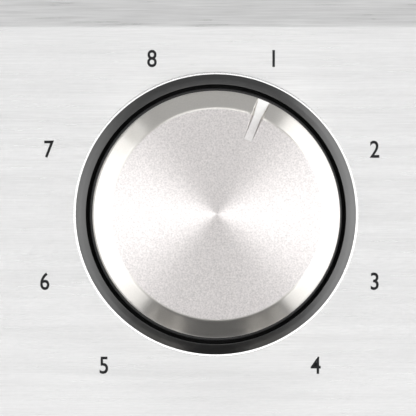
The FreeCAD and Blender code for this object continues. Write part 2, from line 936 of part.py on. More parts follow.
def door_frame():
    """Pressed front of the door with its window hole and a rolled lower edge for the hinges."""
    skin = door_section(0, door_back, door_left, door_right)
    rounded = plate(door_left, door_right, door_bottom - door_corner * 2, door_top,
                    door_front - 1, door_back + 1, door_corner)
    hollow = door_section(door_sheet, door_back + 1, door_left + door_sheet, door_right - door_sheet)
    cuts = [hollow, window_plate(0, door_front - 1, door_front + door_sheet + 1)]
    for x in hinge_places():
        cuts.append(ear_notch(x))
    for x in handle_post_places():
        cuts.append(screw_hole(vec(x, door_front + door_sheet, handle_z), -BACK))
    return skin.common(rounded).cut(Part.makeCompound(cuts))


def door_inner_frame():
    """Inner face of the door, with a rim round its window that holds the glass."""
    gap = door_sheet + cover_clearance
    sheet = plate(door_left + gap, door_right - gap, hinge_z + cover_clearance, door_top - gap,
                  door_back - door_sheet, door_back, door_corner - door_sheet)
    rim = window_plate(door_sheet, seal_back, door_back)
    hole = window_plate(0, seal_back - 1, door_back + 1)
    cuts = [hole]
    for x in hinge_places():
        cuts.append(ear_notch(x))
    for x in magnet_places():
        cuts.append(rod(magnet_radius + fit_gap, vec(x, door_back - 2 * door_sheet, rack_z),
                        vec(x, door_back + 1, rack_z)))
    return sheet.fuse(rim).removeSplitter().cut(Part.makeCompound(cuts))


def door_glass():
    """Toughened window of the door."""
    return window_plate(glass_overlap, glass_front, glass_front + glass_thickness)


def glass_seal():
    """Silicone seal with a groove that holds the glass all round."""
    outer = window_plate(glass_overlap + seal_lip, glass_front - seal_lip, seal_back)
    groove = window_plate(glass_overlap, glass_front, glass_front + glass_thickness)
    hole = window_plate(glass_overlap - seal_bite, door_front, door_back)
    return outer.cut(groove).cut(hole)


def handle_bar():
    """Round bar of the handle with eased ends and two sockets for its posts."""
    radius = handle_radius
    profile = [(0, -handle_half), (radius, -handle_half), (radius, handle_half), (0, handle_half)]
    bar = turned(profile, [0, handle_end_round, handle_end_round, 0], vec(door_middle, handle_y, handle_z),
                 RIGHT, UP)
    socket_front = handle_y + radius - handle_post_socket
    sockets = []
    for x in handle_post_places():
        sockets.append(rod(handle_post_radius + fit_gap, vec(x, socket_front, handle_z),
                           vec(x, handle_y + radius + 1, handle_z)))
    return bar.cut(Part.makeCompound(sockets))


def handle_posts():
    """Two posts between the door's front and the handle bar, each bored for its screw."""
    posts = []
    socket_front = handle_y + handle_radius - handle_post_socket
    for x in handle_post_places():
        post = rod(handle_post_radius, vec(x, socket_front, handle_z), vec(x, door_front, handle_z))
        posts.append(post.cut(screw_hole(vec(x, door_front + door_sheet, handle_z), -BACK)))
    return Part.makeCompound(posts)


def handle_screws():
    head = door_front + door_sheet
    return Part.makeCompound([screw(vec(x, head, handle_z), -BACK) for x in handle_post_places()])


def hinge_brackets():
    """Two hinge ears, each with a foot behind the front frame."""
    ears = []
    for x in hinge_places():
        half = ear_thickness / 2
        disc = rod(ear_radius, vec(x - half, hinge_y, hinge_z), vec(x + half, hinge_y, hinge_z))
        arm = block(x - half, x + half, hinge_y, frame_back + ear_foot_sheet,
                    hinge_z - ear_radius, hinge_z + ear_radius)
        foot = block(x - ear_foot_width / 2, x + ear_foot_width / 2, frame_back,
                     frame_back + ear_foot_sheet, hinge_z - ear_foot_height / 2,
                     hinge_z + ear_foot_height / 2)
        bore = rod(pin_radius + pin_clearance, vec(x - half - 1, hinge_y, hinge_z),
                   vec(x + half + 1, hinge_y, hinge_z))
        ears.append(fuse_all([disc, arm, foot]).cut(bore))
    return Part.makeCompound(ears)


def hinge_side(x):
    """1 where the rest of the door lies to the right of a hinge, and -1 where it lies to its left."""
    return 1 if x < door_middle else -1


def hinge_blocks():
    """Solid blocks inside the rolled edge, on both sides of each ear, that hold the pins."""
    blocks = []
    radius = door_thickness / 2 - door_sheet - fit_gap
    start = ear_thickness / 2 + ear_gap
    for x in hinge_places():
        for side in (-1, 1):
            near = vec(x + side * start, hinge_y, hinge_z)
            far = vec(x + side * (start + block_length), hinge_y, hinge_z)
            bored = tube(radius, pin_radius + fit_gap, near, far)
            blocks.append(bored)
    return Part.makeCompound(blocks)


def hinge_pins():
    """Steel pins through the ears and blocks, carrying the door's springs."""
    pins = []
    reach = ear_thickness / 2 + ear_gap + block_length
    for x in hinge_places():
        side = hinge_side(x)
        start = vec(x - side * reach, hinge_y, hinge_z)
        end = vec(x + side * (reach + spring_length), hinge_y, hinge_z)
        pins.append(rod(pin_radius, start, end))
    return Part.makeCompound(pins)


def door_springs():
    """The closing springs on the pins, as plain sleeves of their outside size."""
    springs = []
    reach = ear_thickness / 2 + ear_gap + block_length
    for x in hinge_places():
        side = hinge_side(x)
        start = vec(x + side * reach, hinge_y, hinge_z)
        end = vec(x + side * (reach + spring_length), hinge_y, hinge_z)
        springs.append(tube(spring_radius, spring_bore, start, end))
    return Part.makeCompound(springs)


def door_magnets():
    """Two magnets, flush in the door's inner face, that draw the rack out."""
    magnets = []
    for x in magnet_places():
        magnets.append(rod(magnet_radius, vec(x, door_back - magnet_thickness, rack_z),
                           vec(x, door_back, rack_z)))
    return Part.makeCompound(magnets)


def door_bumpers():
    """Silicone buttons on the front frame that the closed door almost rests on."""
    bumpers = []
    z = door_top - bumper_inset
    for x in (door_left + bumper_inset, door_right - bumper_inset):
        bumpers.append(rod(bumper_radius, vec(x, frame_front - bumper_height, z), vec(x, frame_front, z)))
    return Part.makeCompound(bumpers)


def cup(x, z, inner, outer):
    """A dark cup round a knob: a rounded rim just proud of the panel and a floor with a hole."""
    hole = bushing_radius + fit_gap
    front = panel_y - bezel_proud
    profile = [(hole, cup_front), (inner, cup_front), (inner, front), (outer, front),
               (outer, cup_back), (hole, cup_back)]
    return turned(profile, [0, 0, bezel_edge, bezel_edge, 0, 0], vec(x, 0, z), BACK, RIGHT)


def knob_bezel():
    return cup(knob_x, knob_z, bezel_inner_radius, bezel_outer_radius)


def small_knob_bezels():
    cups = []
    for x in small_knob_places():
        cups.append(cup(x, small_knob_z, small_bezel_inner_radius, small_bezel_outer_radius))
    return Part.makeCompound(cups)


def bezel_trim():
    """Thin bright ring on the panel, round the function knob's cup."""
    inner = bezel_outer_radius + fit_gap
    outer = inner + trim_width
    front = panel_y - trim_proud
    profile = [(inner, front), (outer, front), (outer, panel_y), (inner, panel_y)]
    return turned(profile, [0, trim_proud * 0.6, 0, 0], vec(knob_x, 0, knob_z), BACK, RIGHT)


def shaft_places():
    """Axis of each knob, as X and Z: the function knob's first."""
    places = [(knob_x, knob_z)]
    for x in small_knob_places():
        places.append((x, small_knob_z))
    return places


def rotary_encoders():
    """Three encoders between the cups and the control board, each with a bushing for its shaft."""
    encoders = []
    half = encoder_size / 2
    for x, z in shaft_places():
        body = block(x - half, x + half, cup_back, board_front, z - half, z + half)
        bushing = rod(bushing_radius, vec(x, bushing_front, z), vec(x, cup_back, z))
        bore = rod(shaft_radius + shaft_clearance, vec(x, bushing_front - 1, z),
                   vec(x, cup_back + shaft_seat + shaft_clearance, z))
        encoders.append(fuse_all([body, bushing]).cut(bore))
    return Part.makeCompound(encoders)


def encoder_nuts():
    """Hexagonal nuts that clamp the encoders to the floors of their cups."""
    nuts = []
    for x, z in shaft_places():
        corners = []
        for i in range(6):
            angle = math.radians(60 * i)
            corners.append(vec(x + nut_radius * math.cos(angle), cup_front - nut_thickness,
                               z + nut_radius * math.sin(angle)))
        nut = prism(corners, [0] * 6, BACK * nut_thickness)
        bore = rod(bushing_radius + fit_gap, vec(x, cup_front - nut_thickness - 1, z),
                   vec(x, cup_front + 1, z))
        nuts.append(nut.cut(bore))
    return Part.makeCompound(nuts)


def d_bar(x, z, front, back, grow):
    """A shaft with one flat, grown by a clearance."""
    bar = rod(shaft_radius + grow, vec(x, front, z), vec(x, back, z))
    reach = shaft_radius * 2
    flat_x = x + shaft_radius - shaft_flat + grow
    return bar.cut(block(flat_x, x + reach, front - 1, back + 1, z - reach, z + reach))


def encoder_shaft(x, z, front):
    """One encoder's shaft: round in the bushing, with a flat where the knob grips it."""
    shoulder = (knob_back + bushing_front) / 2
    grip = d_bar(x, z, front, shoulder, 0)
    journal = rod(shaft_radius, vec(x, shoulder, z), vec(x, cup_back + shaft_seat, z))
    return fuse_all([grip, journal])


def knob_seat():
    """The plane inside the function knob's cap that its core lies against."""
    return knob_front + knob_face_thickness


def pointer_bar(outer_radius, width, front_inner, front_outer):
    """A bar over the pointer's sloping floor, from the pointer's inner end out to a radius."""
    fall = (outer_radius - pointer_inner_radius) * math.tan(math.radians(pointer_slope))
    floor = knob_front + pointer_inlay
    x = knob_x - width / 2
    inner_z = knob_z + pointer_inner_radius
    outer_z = knob_z + outer_radius
    corners = [
        vec(x, front_inner, inner_z),
        vec(x, front_outer, outer_z),
        vec(x, floor + fall, outer_z),
        vec(x, floor, inner_z),
    ]
    bar = prism(corners, [0] * 4, RIGHT * width)
    bar.rotate(vec(knob_x, 0, knob_z), BACK, pointer_angle)
    return bar


def knob_cap():
    """Turned metal cap: flat face, conical bevel, eased rim, a pointer groove and a hollow back."""
    bevel_back = knob_front + knob_bevel_depth
    inner = knob_radius - knob_wall
    profile = [
        (0, knob_front), (knob_face_radius, knob_front), (knob_radius, bevel_back),
        (knob_radius, knob_back), (inner, knob_back), (inner, knob_seat()), (0, knob_seat()),
    ]
    radii = [0, knob_edge / 3, knob_edge, knob_edge / 3, 0, 0, 0]
    body = turned(profile, radii, vec(knob_x, 0, knob_z), BACK, RIGHT)
    return body.cut(pointer_bar(knob_radius + 1, pointer_width, knob_front - 1, knob_front - 1))


def knob_pointer():
    """Bright inlay along the floor of the pointer's groove."""
    reach = knob_radius - knob_edge
    fall = (reach - pointer_inner_radius) * math.tan(math.radians(pointer_slope))
    return pointer_bar(reach, pointer_width - 2 * fit_gap, knob_front, knob_front + fall)


def knob_core():
    """Moulded core inside the cap: a disc and a hub that grips the shaft."""
    seat = knob_seat()
    axis = vec(knob_x, 0, knob_z)
    disc_radius = knob_radius - knob_wall - fit_gap
    disc_back = seat + knob_wall
    profile = [(0, seat), (disc_radius, seat), (disc_radius, disc_back), (hub_radius, disc_back),
               (hub_radius, knob_back), (0, knob_back)]
    body = turned(profile, [0] * 6, axis, BACK, RIGHT)
    return body.cut(d_bar(knob_x, knob_z, seat + knob_wall, knob_back + 1, fit_gap))


def knob_shaft():
    return encoder_shaft(knob_x, knob_z, knob_seat() + 2 * knob_wall)


def small_knob(x):
    """A small turned knob with a bevel, a hollow back and a pointer notch in its rim."""
    front = small_knob_front
    bevel_back = front + small_knob_bevel_depth
    seat = front + small_knob_face_thickness
    inner = small_knob_radius - small_knob_wall
    axis = vec(x, 0, small_knob_z)
    profile = [
        (0, front), (small_knob_face_radius, front), (small_knob_radius, bevel_back),
        (small_knob_radius, knob_back), (inner, knob_back), (inner, seat), (hub_radius, seat),
        (hub_radius, knob_back), (0, knob_back),
    ]
    body = turned(profile, [0, 0.15, 0.3, 0.2, 0, 0, 0, 0, 0], axis, BACK, RIGHT)
    half = pointer_width / 2
    notch = block(x - half, x + half, front - 1, front + pointer_width / 2,
                  small_knob_z + small_knob_face_radius / 2, small_knob_z + small_knob_radius + 1)
    return body.cut(notch).cut(d_bar(x, small_knob_z, seat, knob_back + 1, fit_gap))


def small_shaft(x):
    return encoder_shaft(x, small_knob_z, small_knob_front + small_knob_face_thickness + knob_wall)


def push_button(x):
    """A round button with an eased face, a flange behind the housing and a stem."""
    front = panel_y - button_proud
    flange_front = housing_back + button_clearance
    flange_back = flange_front + button_flange_thickness
    stem_back = switch_top - button_travel - button_clearance
    flange_radius = button_radius + button_flange
    profile = [
        (0, front), (button_radius, front), (button_radius, flange_front),
        (flange_radius, flange_front), (flange_radius, flange_back),
        (button_stem_radius, flange_back), (button_stem_radius, stem_back), (0, stem_back),
    ]
    return turned(profile, [0, 0.8, 0, 0, 0, 0, 0, 0], vec(x, 0, button_z), BACK, RIGHT)


def button_switches():
    """Two tactile switches on the control board."""
    switches = []
    half = switch_size / 2
    for x in button_places():
        switches.append(block(x - half, x + half, switch_top, board_front, button_z - half, button_z + half))
    return Part.makeCompound(switches)


def control_board_box():
    """Edges of the control board: left, right, bottom and top."""
    gap = housing_wall + board_border
    return (control_left + gap, half_width - gap, casing_bottom + board_bottom, fold_z - board_top_gap)


def control_board():
    left, right, low, high = control_board_box()
    return plate(left, right, low, high, board_front, board_back, 1)


def power_board_box():
    """Edges of the power board: front, back, bottom and top."""
    front = frame_back + power_board_front
    low = base_top + power_board_rise
    return (front, front + power_board_length, low, low + power_board_height)


def power_board():
    """Upright board beside the heat shield."""
    front, back, low, high = power_board_box()
    return block(power_board_x, power_board_x + board_sheet, front, back, low, high)


def board_spacers():
    """Posts that carry the control board on the housing and the power board on the heat shield."""
    posts = []
    left, right, low, high = control_board_box()
    inset = spacer_post_inset
    for x in (left + inset, right - inset):
        for z in (low + inset, high - inset):
            posts.append(tube(spacer_post_radius, spacer_post_bore, vec(x, housing_back, z),
                              vec(x, board_front, z)))
    front, back, low, high = power_board_box()
    for y in (front + inset, back - inset):
        for z in (low + inset, high - inset):
            posts.append(tube(spacer_post_radius, spacer_post_bore, vec(shield_x + shield_sheet, y, z),
                              vec(power_board_x, y, z)))
    return Part.makeCompound(posts)


def relays():
    """A row of relays on the power board."""
    front, back, low, high = power_board_box()
    face = power_board_x + board_sheet
    z = high - spacer_post_inset * 2 - relay_height
    boxes = []
    for i in range(relay_count):
        y = front + relay_pitch * (i + 1)
        boxes.append(block(face, face + relay_thickness, y, y + relay_width, z, z + relay_height))
    return Part.makeCompound(boxes)


def transformer():
    """Small mains transformer on the base plate: a laminated core and its coil."""
    x = half_width - control_width / 2
    back = shell_back - transformer_back_gap
    middle = back - coil_length / 2
    core = block(x - core_width / 2, x + core_width / 2, middle - core_length / 2,
                 middle + core_length / 2, base_top, base_top + core_height)
    middle_z = base_top + core_height / 2
    coil = block(x - coil_width / 2, x + coil_width / 2, middle - coil_length / 2,
                 middle + coil_length / 2, middle_z - coil_height / 2, middle_z + coil_height / 2)
    return fuse_all([core, coil])


def rubber_feet():
    """Four feet, each with a recess for its screw."""
    feet = []
    for point in foot_points():
        foot = Part.makeCone(foot_radius, foot_radius - foot_taper, foot_height, point, -UP)
        head = foot_screw_head(point)
        recess = rod(foot_recess_radius, point - UP * foot_height, head)
        feet.append(foot.cut(recess).cut(screw_hole(head, UP)))
    return Part.makeCompound(feet)


def casing_screws():
    """The screws of the back panel and of the feet, all alike."""
    screws = [screw(point, -BACK) for point in back_screw_points()]
    for point in foot_points():
        screws.append(screw(foot_screw_head(point), UP))
    return Part.makeCompound(screws)


def rear_spacers():
    """Two buffers that keep the back panel off the wall."""
    buffers = []
    z = casing_bottom + spacer_height
    for x in (-half_width + spacer_inset, half_width - spacer_inset):
        profile = [(0, 0), (spacer_radius, 0), (spacer_radius, spacer_length), (0, spacer_length)]
        buffers.append(turned(profile, [0, 0, spacer_edge, 0], vec(x, casing_back, z), BACK, RIGHT))
    return Part.makeCompound(buffers)


def gland_point():
    """Where the mains cord comes through the back panel."""
    return vec(half_width - gland_inset, casing_back, casing_bottom + gland_height)


def cable_gland():
    """Cord gland: a flange outside the back panel, a nut inside and a bore for the cord."""
    inside = gland_length - gland_flange
    profile = [
        (gland_bore_radius, gland_flange), (gland_flange_radius, gland_flange),
        (gland_flange_radius, 0), (gland_radius, 0), (gland_radius, -back_sheet),
        (gland_nut_radius, -back_sheet), (gland_nut_radius, -back_sheet - gland_nut),
        (gland_radius, -back_sheet - gland_nut), (gland_radius, -inside), (gland_bore_radius, -inside),
    ]
    radii = [0, 1, 0, 0, 0, 0, 0, 0, 0, 0]
    return turned(profile, radii, gland_point(), BACK, RIGHT)


def main():
    left_knob, right_knob = small_knob_places()
    left_button, right_button = button_places()
    nodes = {
        "outer_shell": outer_shell(),
        "back_panel": back_panel(),
        "base_plate": base_plate(),
        "front_frame": front_frame(),
        "control_housing": control_housing(),
        "control_plate": control_plate(),
        "display_window": display_window(),
        "display_module": display_module(),
        "cavity_liner": cavity_liner(),
        "heat_shield": heat_shield(),
        "rack_guides": rack_guides(),
        "upper_elements": upper_elements(),
        "lower_elements": lower_elements(),
        "element_insulators": element_insulators(),
        "temperature_probe": temperature_probe(),
        "thermal_fuse": thermal_fuse(),
        "tray_runners": tray_runners(),
        "hinge_brackets": hinge_brackets(),
        "door_bumpers": door_bumpers(),
        "rotary_encoders": rotary_encoders(),
        "encoder_nuts": encoder_nuts(),
        "knob_bezel": knob_bezel(),
        "bezel_trim": bezel_trim(),
        "small_knob_bezels": small_knob_bezels(),
        "button_switches": button_switches(),
        "control_board": control_board(),
        "board_spacers": board_spacers(),
        "power_board": power_board(),
        "relays": relays(),
        "transformer": transformer(),
        "rubber_feet": rubber_feet(),
        "casing_screws": casing_screws(),
        "rear_spacers": rear_spacers(),
        "cable_gland": cable_gland(),
        "door_frame": door_frame(),
        "door_inner_frame": door_inner_frame(),
        "door_glass": door_glass(),
        "glass_seal": glass_seal(),
        "handle_bar": handle_bar(),
        "handle_posts": handle_posts(),
        "handle_screws": handle_screws(),
        "hinge_blocks": hinge_blocks(),
        "hinge_pins": hinge_pins(),
        "door_springs": door_springs(),
        "door_magnets": door_magnets(),
        "wire_rack": wire_rack(),
        "crumb_tray": crumb_tray(),
        "tray_front": tray_front(),
        "knob_cap": knob_cap(),
        "knob_pointer": knob_pointer(),
        "knob_core": knob_core(),
        "knob_shaft": knob_shaft(),
        "temperature_knob": small_knob(left_knob),
        "temperature_shaft": small_shaft(left_knob),
        "time_knob": small_knob(right_knob),
        "time_shaft": small_shaft(right_knob),
        "start_button": push_button(left_button),
        "cancel_button": push_button(right_button),
    }
    os.makedirs("parts", exist_ok=True)
    for name, shape in nodes.items():
        shape.exportStep("parts/" + name + ".step")


main()
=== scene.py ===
import math

import bmesh
import bpy
import numpy as np
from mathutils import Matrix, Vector


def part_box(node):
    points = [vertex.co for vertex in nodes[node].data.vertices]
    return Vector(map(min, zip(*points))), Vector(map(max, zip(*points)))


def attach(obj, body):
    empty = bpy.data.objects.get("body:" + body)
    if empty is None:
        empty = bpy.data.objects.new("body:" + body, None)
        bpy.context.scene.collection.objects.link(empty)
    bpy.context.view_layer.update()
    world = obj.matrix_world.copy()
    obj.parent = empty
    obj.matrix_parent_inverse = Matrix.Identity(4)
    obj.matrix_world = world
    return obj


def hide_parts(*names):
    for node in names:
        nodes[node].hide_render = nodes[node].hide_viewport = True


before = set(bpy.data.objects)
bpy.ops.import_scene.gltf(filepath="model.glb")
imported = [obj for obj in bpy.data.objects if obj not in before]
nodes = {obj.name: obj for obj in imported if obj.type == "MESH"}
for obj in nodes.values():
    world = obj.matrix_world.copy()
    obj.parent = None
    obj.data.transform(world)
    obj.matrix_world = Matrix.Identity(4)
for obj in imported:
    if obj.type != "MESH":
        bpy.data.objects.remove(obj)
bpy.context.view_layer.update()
scene = bpy.context.scene

MM = 0.001


def middle_of(node):
    """The middle of a node's box, across and up, in millimetres."""
    low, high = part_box(node)
    return (low.x + high.x) / 2 / MM, (low.z + high.z) / 2 / MM


# Places read from the frame, in millimetres; the panel's face is where the bright ring ends
KNOB_X, KNOB_Z = middle_of("knob_bezel")
PANEL_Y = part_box("bezel_trim")[1].y / MM
cap_low, cap_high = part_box("knob_cap")
FACE_Y = cap_low.y / MM
KNOB_BACK_Y = cap_high.y / MM

# Distances from a turned piece's own axis, in millimetres, at which its metal changes, and over which the
# enamel's painted shade fades
BEVEL_START = 17.14
SMALL_BEVEL_START = 9.1
ENAMEL_SHADED_END = 13.0
ENAMEL_UNSHADED_FROM = 18.2


# Colours and nodes

def linear(code):
    """An sRGB hex colour as linear light."""
    values = [int(code[i:i + 2], 16) / 255 for i in (1, 3, 5)]
    return tuple(v / 12.92 if v <= 0.04045 else ((v + 0.055) / 1.055) ** 2.4 for v in values) + (1.0,)


def add(tree, kind, settings=None, links=None):
    """Adds a shader node with its settings and links; a node given as a link means its first output."""
    made = tree.nodes.new("ShaderNode" + kind)
    for key, value in (settings or {}).items():
        if isinstance(key, str) and hasattr(made, key):
            setattr(made, key, value)
        else:
            made.inputs[key].default_value = value
    for key, source in (links or {}).items():
        if isinstance(source, bpy.types.Node):
            source = source.outputs[0]
        tree.links.new(source, made.inputs[key])
    return made


def blank(name):
    """A new material with an empty node tree."""
    made = bpy.data.materials.new(name)
    made.use_nodes = True
    made.node_tree.nodes.clear()
    return made, made.node_tree


def finish(tree, settings, links):
    """Ends a material: its surface shader and the output."""
    shader = add(tree, "BsdfPrincipled", settings, links)
    return add(tree, "OutputMaterial", {}, {"Surface": shader})


def grain(tree, size, detail=2.0, roughness=0.5, centre=(0, 0, 0)):
    """Cloudy grain on the object's own coordinates; size and centre are in millimetres along x, y, z."""
    where = add(tree, "TexCoord")
    from_centre = add(tree, "VectorMath", {"operation": "SUBTRACT", 1: [v * MM for v in centre]},
                      {0: where.outputs["Object"]})
    place = add(tree, "VectorMath", {"operation": "DIVIDE", 1: [v * MM for v in size]}, {0: from_centre})
    return add(tree, "TexNoise", {"Scale": 1.0, "Detail": detail, "Roughness": roughness},
               {"Vector": place})


# Metals

def brushed(name, code, along, roughness, width, length, depth):
    """Sheet brushed along one axis: long streaks, width by length in millimetres, some of them stronger.

    The streaks give the surface its direction: lights stretch across them, and the tone changes by
    up to depth from streak to streak.
    """
    made, tree = blank(name)
    axis = "xyz".index(along)
    size = [length if i == axis else width for i in range(3)]
    fine = grain(tree, size, 3.0, 0.62)
    broad = grain(tree, [v * (3 if i == axis else 7) for i, v in enumerate(size)], 2.0)
    both = add(tree, "Math", {"operation": "MULTIPLY_ADD", 1: 0.35}, {0: broad, 2: fine})
    tone = add(tree, "MapRange", {"From Min": 0.45, "From Max": 0.9, "To Min": 1 - depth,
                                  "To Max": 1 + depth}, {"Value": both})
    colour = add(tree, "VectorMath", {"operation": "SCALE", 0: linear(code)[:3]}, {"Scale": tone})
    rough = add(tree, "MapRange", {"From Min": 0.3, "From Max": 0.7, "To Min": roughness - 0.04,
                                   "To Max": roughness + 0.04}, {"Value": fine})
    facing = add(tree, "NewGeometry")
    # A little off the axis, so that a face square to the grain still has a direction
    straight = [1.0 if i == axis else 0.011 for i in range(3)]
    across = add(tree, "VectorMath", {"operation": "CROSS_PRODUCT", 1: straight},
                 {0: facing.outputs["Normal"]})
    relief = add(tree, "Bump", {"Strength": 0.35, "Distance": 0.01 * MM}, {"Height": fine})
    finish(tree, {"Metallic": 1.0, "Anisotropic": 0.8},
           {"Base Color": colour, "Roughness": rough, "Tangent": across, "Normal": relief})
    return made


# Stainless steel 304 with a long fine brush from side to side. Real brush lines are about 0.05 mm
# wide, too fine to show, so they are drawn 0.28 mm wide.
panel_steel = brushed("brushed_stainless_panel", "#CCCCCC", "x", 0.31, 0.28, 10, 0.13)
# The same steel as bent for the casing, brushed from front to back
casing_steel = brushed("brushed_stainless_casing", "#C8C8C7", "y", 0.42, 0.35, 14, 0.05)
# The frame round the door, brushed from side to side
frame_steel = brushed("brushed_stainless_frame", "#C8C8C7", "x", 0.42, 0.35, 14, 0.05)
# The handle's tube: stainless drawn and polished along its length, so it has one long soft light
handle_steel = brushed("drawn_stainless_tube", "#D6D6D4", "x", 0.3, 0.25, 40, 0.03)


def galvanised_sheet():
    """Hot-dip zinc on steel: flat crystals about 9 mm across, each a little lighter or darker."""
    made, tree = blank("galvanised_steel")
    crystal = 9 * MM
    where = add(tree, "TexCoord")
    cells = add(tree, "TexVoronoi", {"Scale": 1 / crystal, "Randomness": 1.0},
                {"Vector": where.outputs["Object"]})
    flakes = add(tree, "SeparateColor", {}, {"Color": cells.outputs["Color"]})
    fine = grain(tree, (1.2, 1.2, 1.2), 3.0)
    both = add(tree, "Math", {"operation": "MULTIPLY_ADD", 1: 0.6}, {0: fine, 2: flakes})
    tone = add(tree, "MapRange", {"From Min": 0.2, "From Max": 1.4, "To Min": 0.86, "To Max": 1.08},
               {"Value": both})
    colour = add(tree, "VectorMath", {"operation": "SCALE", 0: linear("#B9BCBE")[:3]}, {"Scale": tone})
    rough = add(tree, "MapRange", {"To Min": 0.36, "To Max": 0.52}, {"Value": flakes})
    relief = add(tree, "Bump", {"Strength": 0.3, "Distance": 0.03 * MM}, {"Height": fine})
    finish(tree, {"Metallic": 1.0}, {"Base Color": colour, "Roughness": rough, "Normal": relief})
    return made


def aluminised_sheet():
    """Aluminised steel of the cavity: dull, with a rolled mottle and a faint warm bloom from heat."""
    made, tree = blank("aluminised_steel")
    mottle = grain(tree, (2.5, 2.5, 2.5), 4.0, 0.6)
    bloom = grain(tree, (70, 70, 70), 1.0)
    warm = add(tree, "Mix", {"data_type": "RGBA", 6: linear("#A8A8A5"), 7: linear("#A39C8E")}, {0: bloom})
    tone = add(tree, "MapRange", {"From Min": 0.3, "From Max": 0.7, "To Min": 0.93, "To Max": 1.05},
               {"Value": mottle})
    colour = add(tree, "VectorMath", {"operation": "SCALE"}, {0: warm.outputs[2], "Scale": tone})
    rough = add(tree, "MapRange", {"To Min": 0.36, "To Max": 0.5}, {"Value": mottle})
    relief = add(tree, "Bump", {"Strength": 0.25, "Distance": 0.04 * MM}, {"Height": mottle})
    finish(tree, {"Metallic": 1.0}, {"Base Color": colour, "Roughness": rough, "Normal": relief})
    return made


def plated_wire():
    """Chrome-plated steel wire: bright and smooth, with a faint waviness from drawing."""
    made, tree = blank("chrome_plated_wire")
    wave = grain(tree, (6, 6, 6), 1.0)
    haze = add(tree, "MapRange", {"To Min": 0.1, "To Max": 0.22}, {"Value": wave})
    relief = add(tree, "Bump", {"Strength": 0.15, "Distance": 0.05 * MM}, {"Height": wave})
    finish(tree, {"Metallic": 1.0, "Base Color": linear("#CFCFD0")}, {"Roughness": haze, "Normal": relief})
    return made


def oxidised_sheath():
    """Nickel-alloy heater sheath, darkened by heat to a patchy brown-grey oxide."""
    made, tree = blank("oxidised_nickel_alloy")
    patches = grain(tree, (9, 9, 9), 4.0, 0.6)
    colour = add(tree, "Mix", {"data_type": "RGBA", 6: linear("#3B3733"), 7: linear("#6A625A")},
                 {0: patches})
    rough = add(tree, "MapRange", {"To Min": 0.42, "To Max": 0.62}, {"Value": patches})
    finish(tree, {"Metallic": 0.7}, {"Base Color": colour.outputs[2], "Roughness": rough})
    return made


def zinc_plated_steel():
    """Zinc-plated steel fastenings: bright blue-white plating, slightly uneven."""
    made, tree = blank("zinc_plated_steel")
    cloud = grain(tree, (2, 2, 2), 2.0)
    colour = add(tree, "Mix", {"data_type": "RGBA", 6: linear("#A7ABAF"), 7: linear("#C2C4C5")}, {0: cloud})
    rough = add(tree, "MapRange", {"To Min": 0.24, "To Max": 0.36}, {"Value": cloud})
    finish(tree, {"Metallic": 1.0}, {"Base Color": colour.outputs[2], "Roughness": rough})
    return made


def polished_trim():
    """Polished chrome-plated brass of the thin ring: nearly a mirror, with fine polishing haze."""
    made, tree = blank("polished_chrome_trim")
    cloud = grain(tree, (1.5, 1.5, 1.5), 2.0)
    haze = add(tree, "MapRange", {"To Min": 0.18, "To Max": 0.26}, {"Value": cloud})
    finish(tree, {"Metallic": 1.0, "Base Color": linear("#D2D2D2")}, {"Roughness": haze})
    return made


def spun_aluminium(name, code, centre, bevel_start):
    """Turned aluminium round an axis along y: its lights spread out along the radius.

    The turning lines are far too fine to show; what shows is a fine bright speckle, drawn 0.28 mm
    across, and lights that fan out from the middle of the face. The bevel, cut last with a diamond
    tool, is smoother and has less speckle; it starts at a distance of bevel_start millimetres.
    """
    made, tree = blank(name)
    speckle = (0.28, 0.28, 0.28)
    where = add(tree, "TexCoord")
    reach = add(tree, "VectorMath", {"operation": "SUBTRACT", 1: [v * MM for v in centre]},
                {0: where.outputs["Object"]})
    flat = add(tree, "VectorMath", {"operation": "MULTIPLY", 1: (1, 0, 1)}, {0: reach})
    away = add(tree, "VectorMath", {"operation": "LENGTH"}, {0: flat})
    on_bevel = add(tree, "MapRange", {"From Min": bevel_start * MM, "From Max": (bevel_start + 0.1) * MM},
                   {"Value": away.outputs["Value"]})
    fine = grain(tree, speckle, 1.0, 0.6, centre)
    speck = add(tree, "MapRange", {"To Min": 0.62, "To Max": 0.12}, {"Value": on_bevel})
    offset = add(tree, "Math", {"operation": "SUBTRACT", 1: 0.5}, {0: fine})
    tone = add(tree, "Math", {"operation": "MULTIPLY_ADD", 2: 1.0}, {0: offset, 1: speck})
    shade = add(tree, "Mix", {"data_type": "RGBA", 6: linear(code), 7: linear("#ECE9E4")}, {0: on_bevel})
    colour = add(tree, "VectorMath", {"operation": "SCALE"}, {0: shade.outputs[2], "Scale": tone})
    rough = add(tree, "MapRange", {"To Min": 0.55, "To Max": 0.3}, {"Value": on_bevel})
    radial = add(tree, "VectorMath", {"operation": "NORMALIZE"}, {0: flat})
    # A share along the axis gives the straight side a direction too
    across = add(tree, "VectorMath", {"operation": "ADD", 1: (0, 0.2, 0)}, {0: radial})
    turned = add(tree, "VectorTransform", {"vector_type": "VECTOR", "convert_from": "OBJECT",
                                           "convert_to": "WORLD"}, {"Vector": across})
    relief = add(tree, "Bump", {"Strength": 0.2, "Distance": 0.01 * MM}, {"Height": fine})
    finish(tree, {"Metallic": 1.0, "Anisotropic": 0.82},
           {"Base Color": colour, "Roughness": rough, "Tangent": turned, "Normal": relief})
    return made


def black_chrome():
    """Black chrome plate on the cup's rim: dark, satin, and brighter only where a lamp stands in it."""
    made, tree = blank("black_chrome_plate")
    cloud = grain(tree, (1.2, 1.2, 1.2), 2.0)
    colour = add(tree, "Mix", {"data_type": "RGBA", 6: linear("#595959"), 7: linear("#606060")}, {0: cloud})
    haze = add(tree, "MapRange", {"To Min": 0.3, "To Max": 0.38}, {"Value": cloud})
    finish(tree, {"Metallic": 1.0}, {"Base Color": colour.outputs[2], "Roughness": haze})
    return made


# Other materials

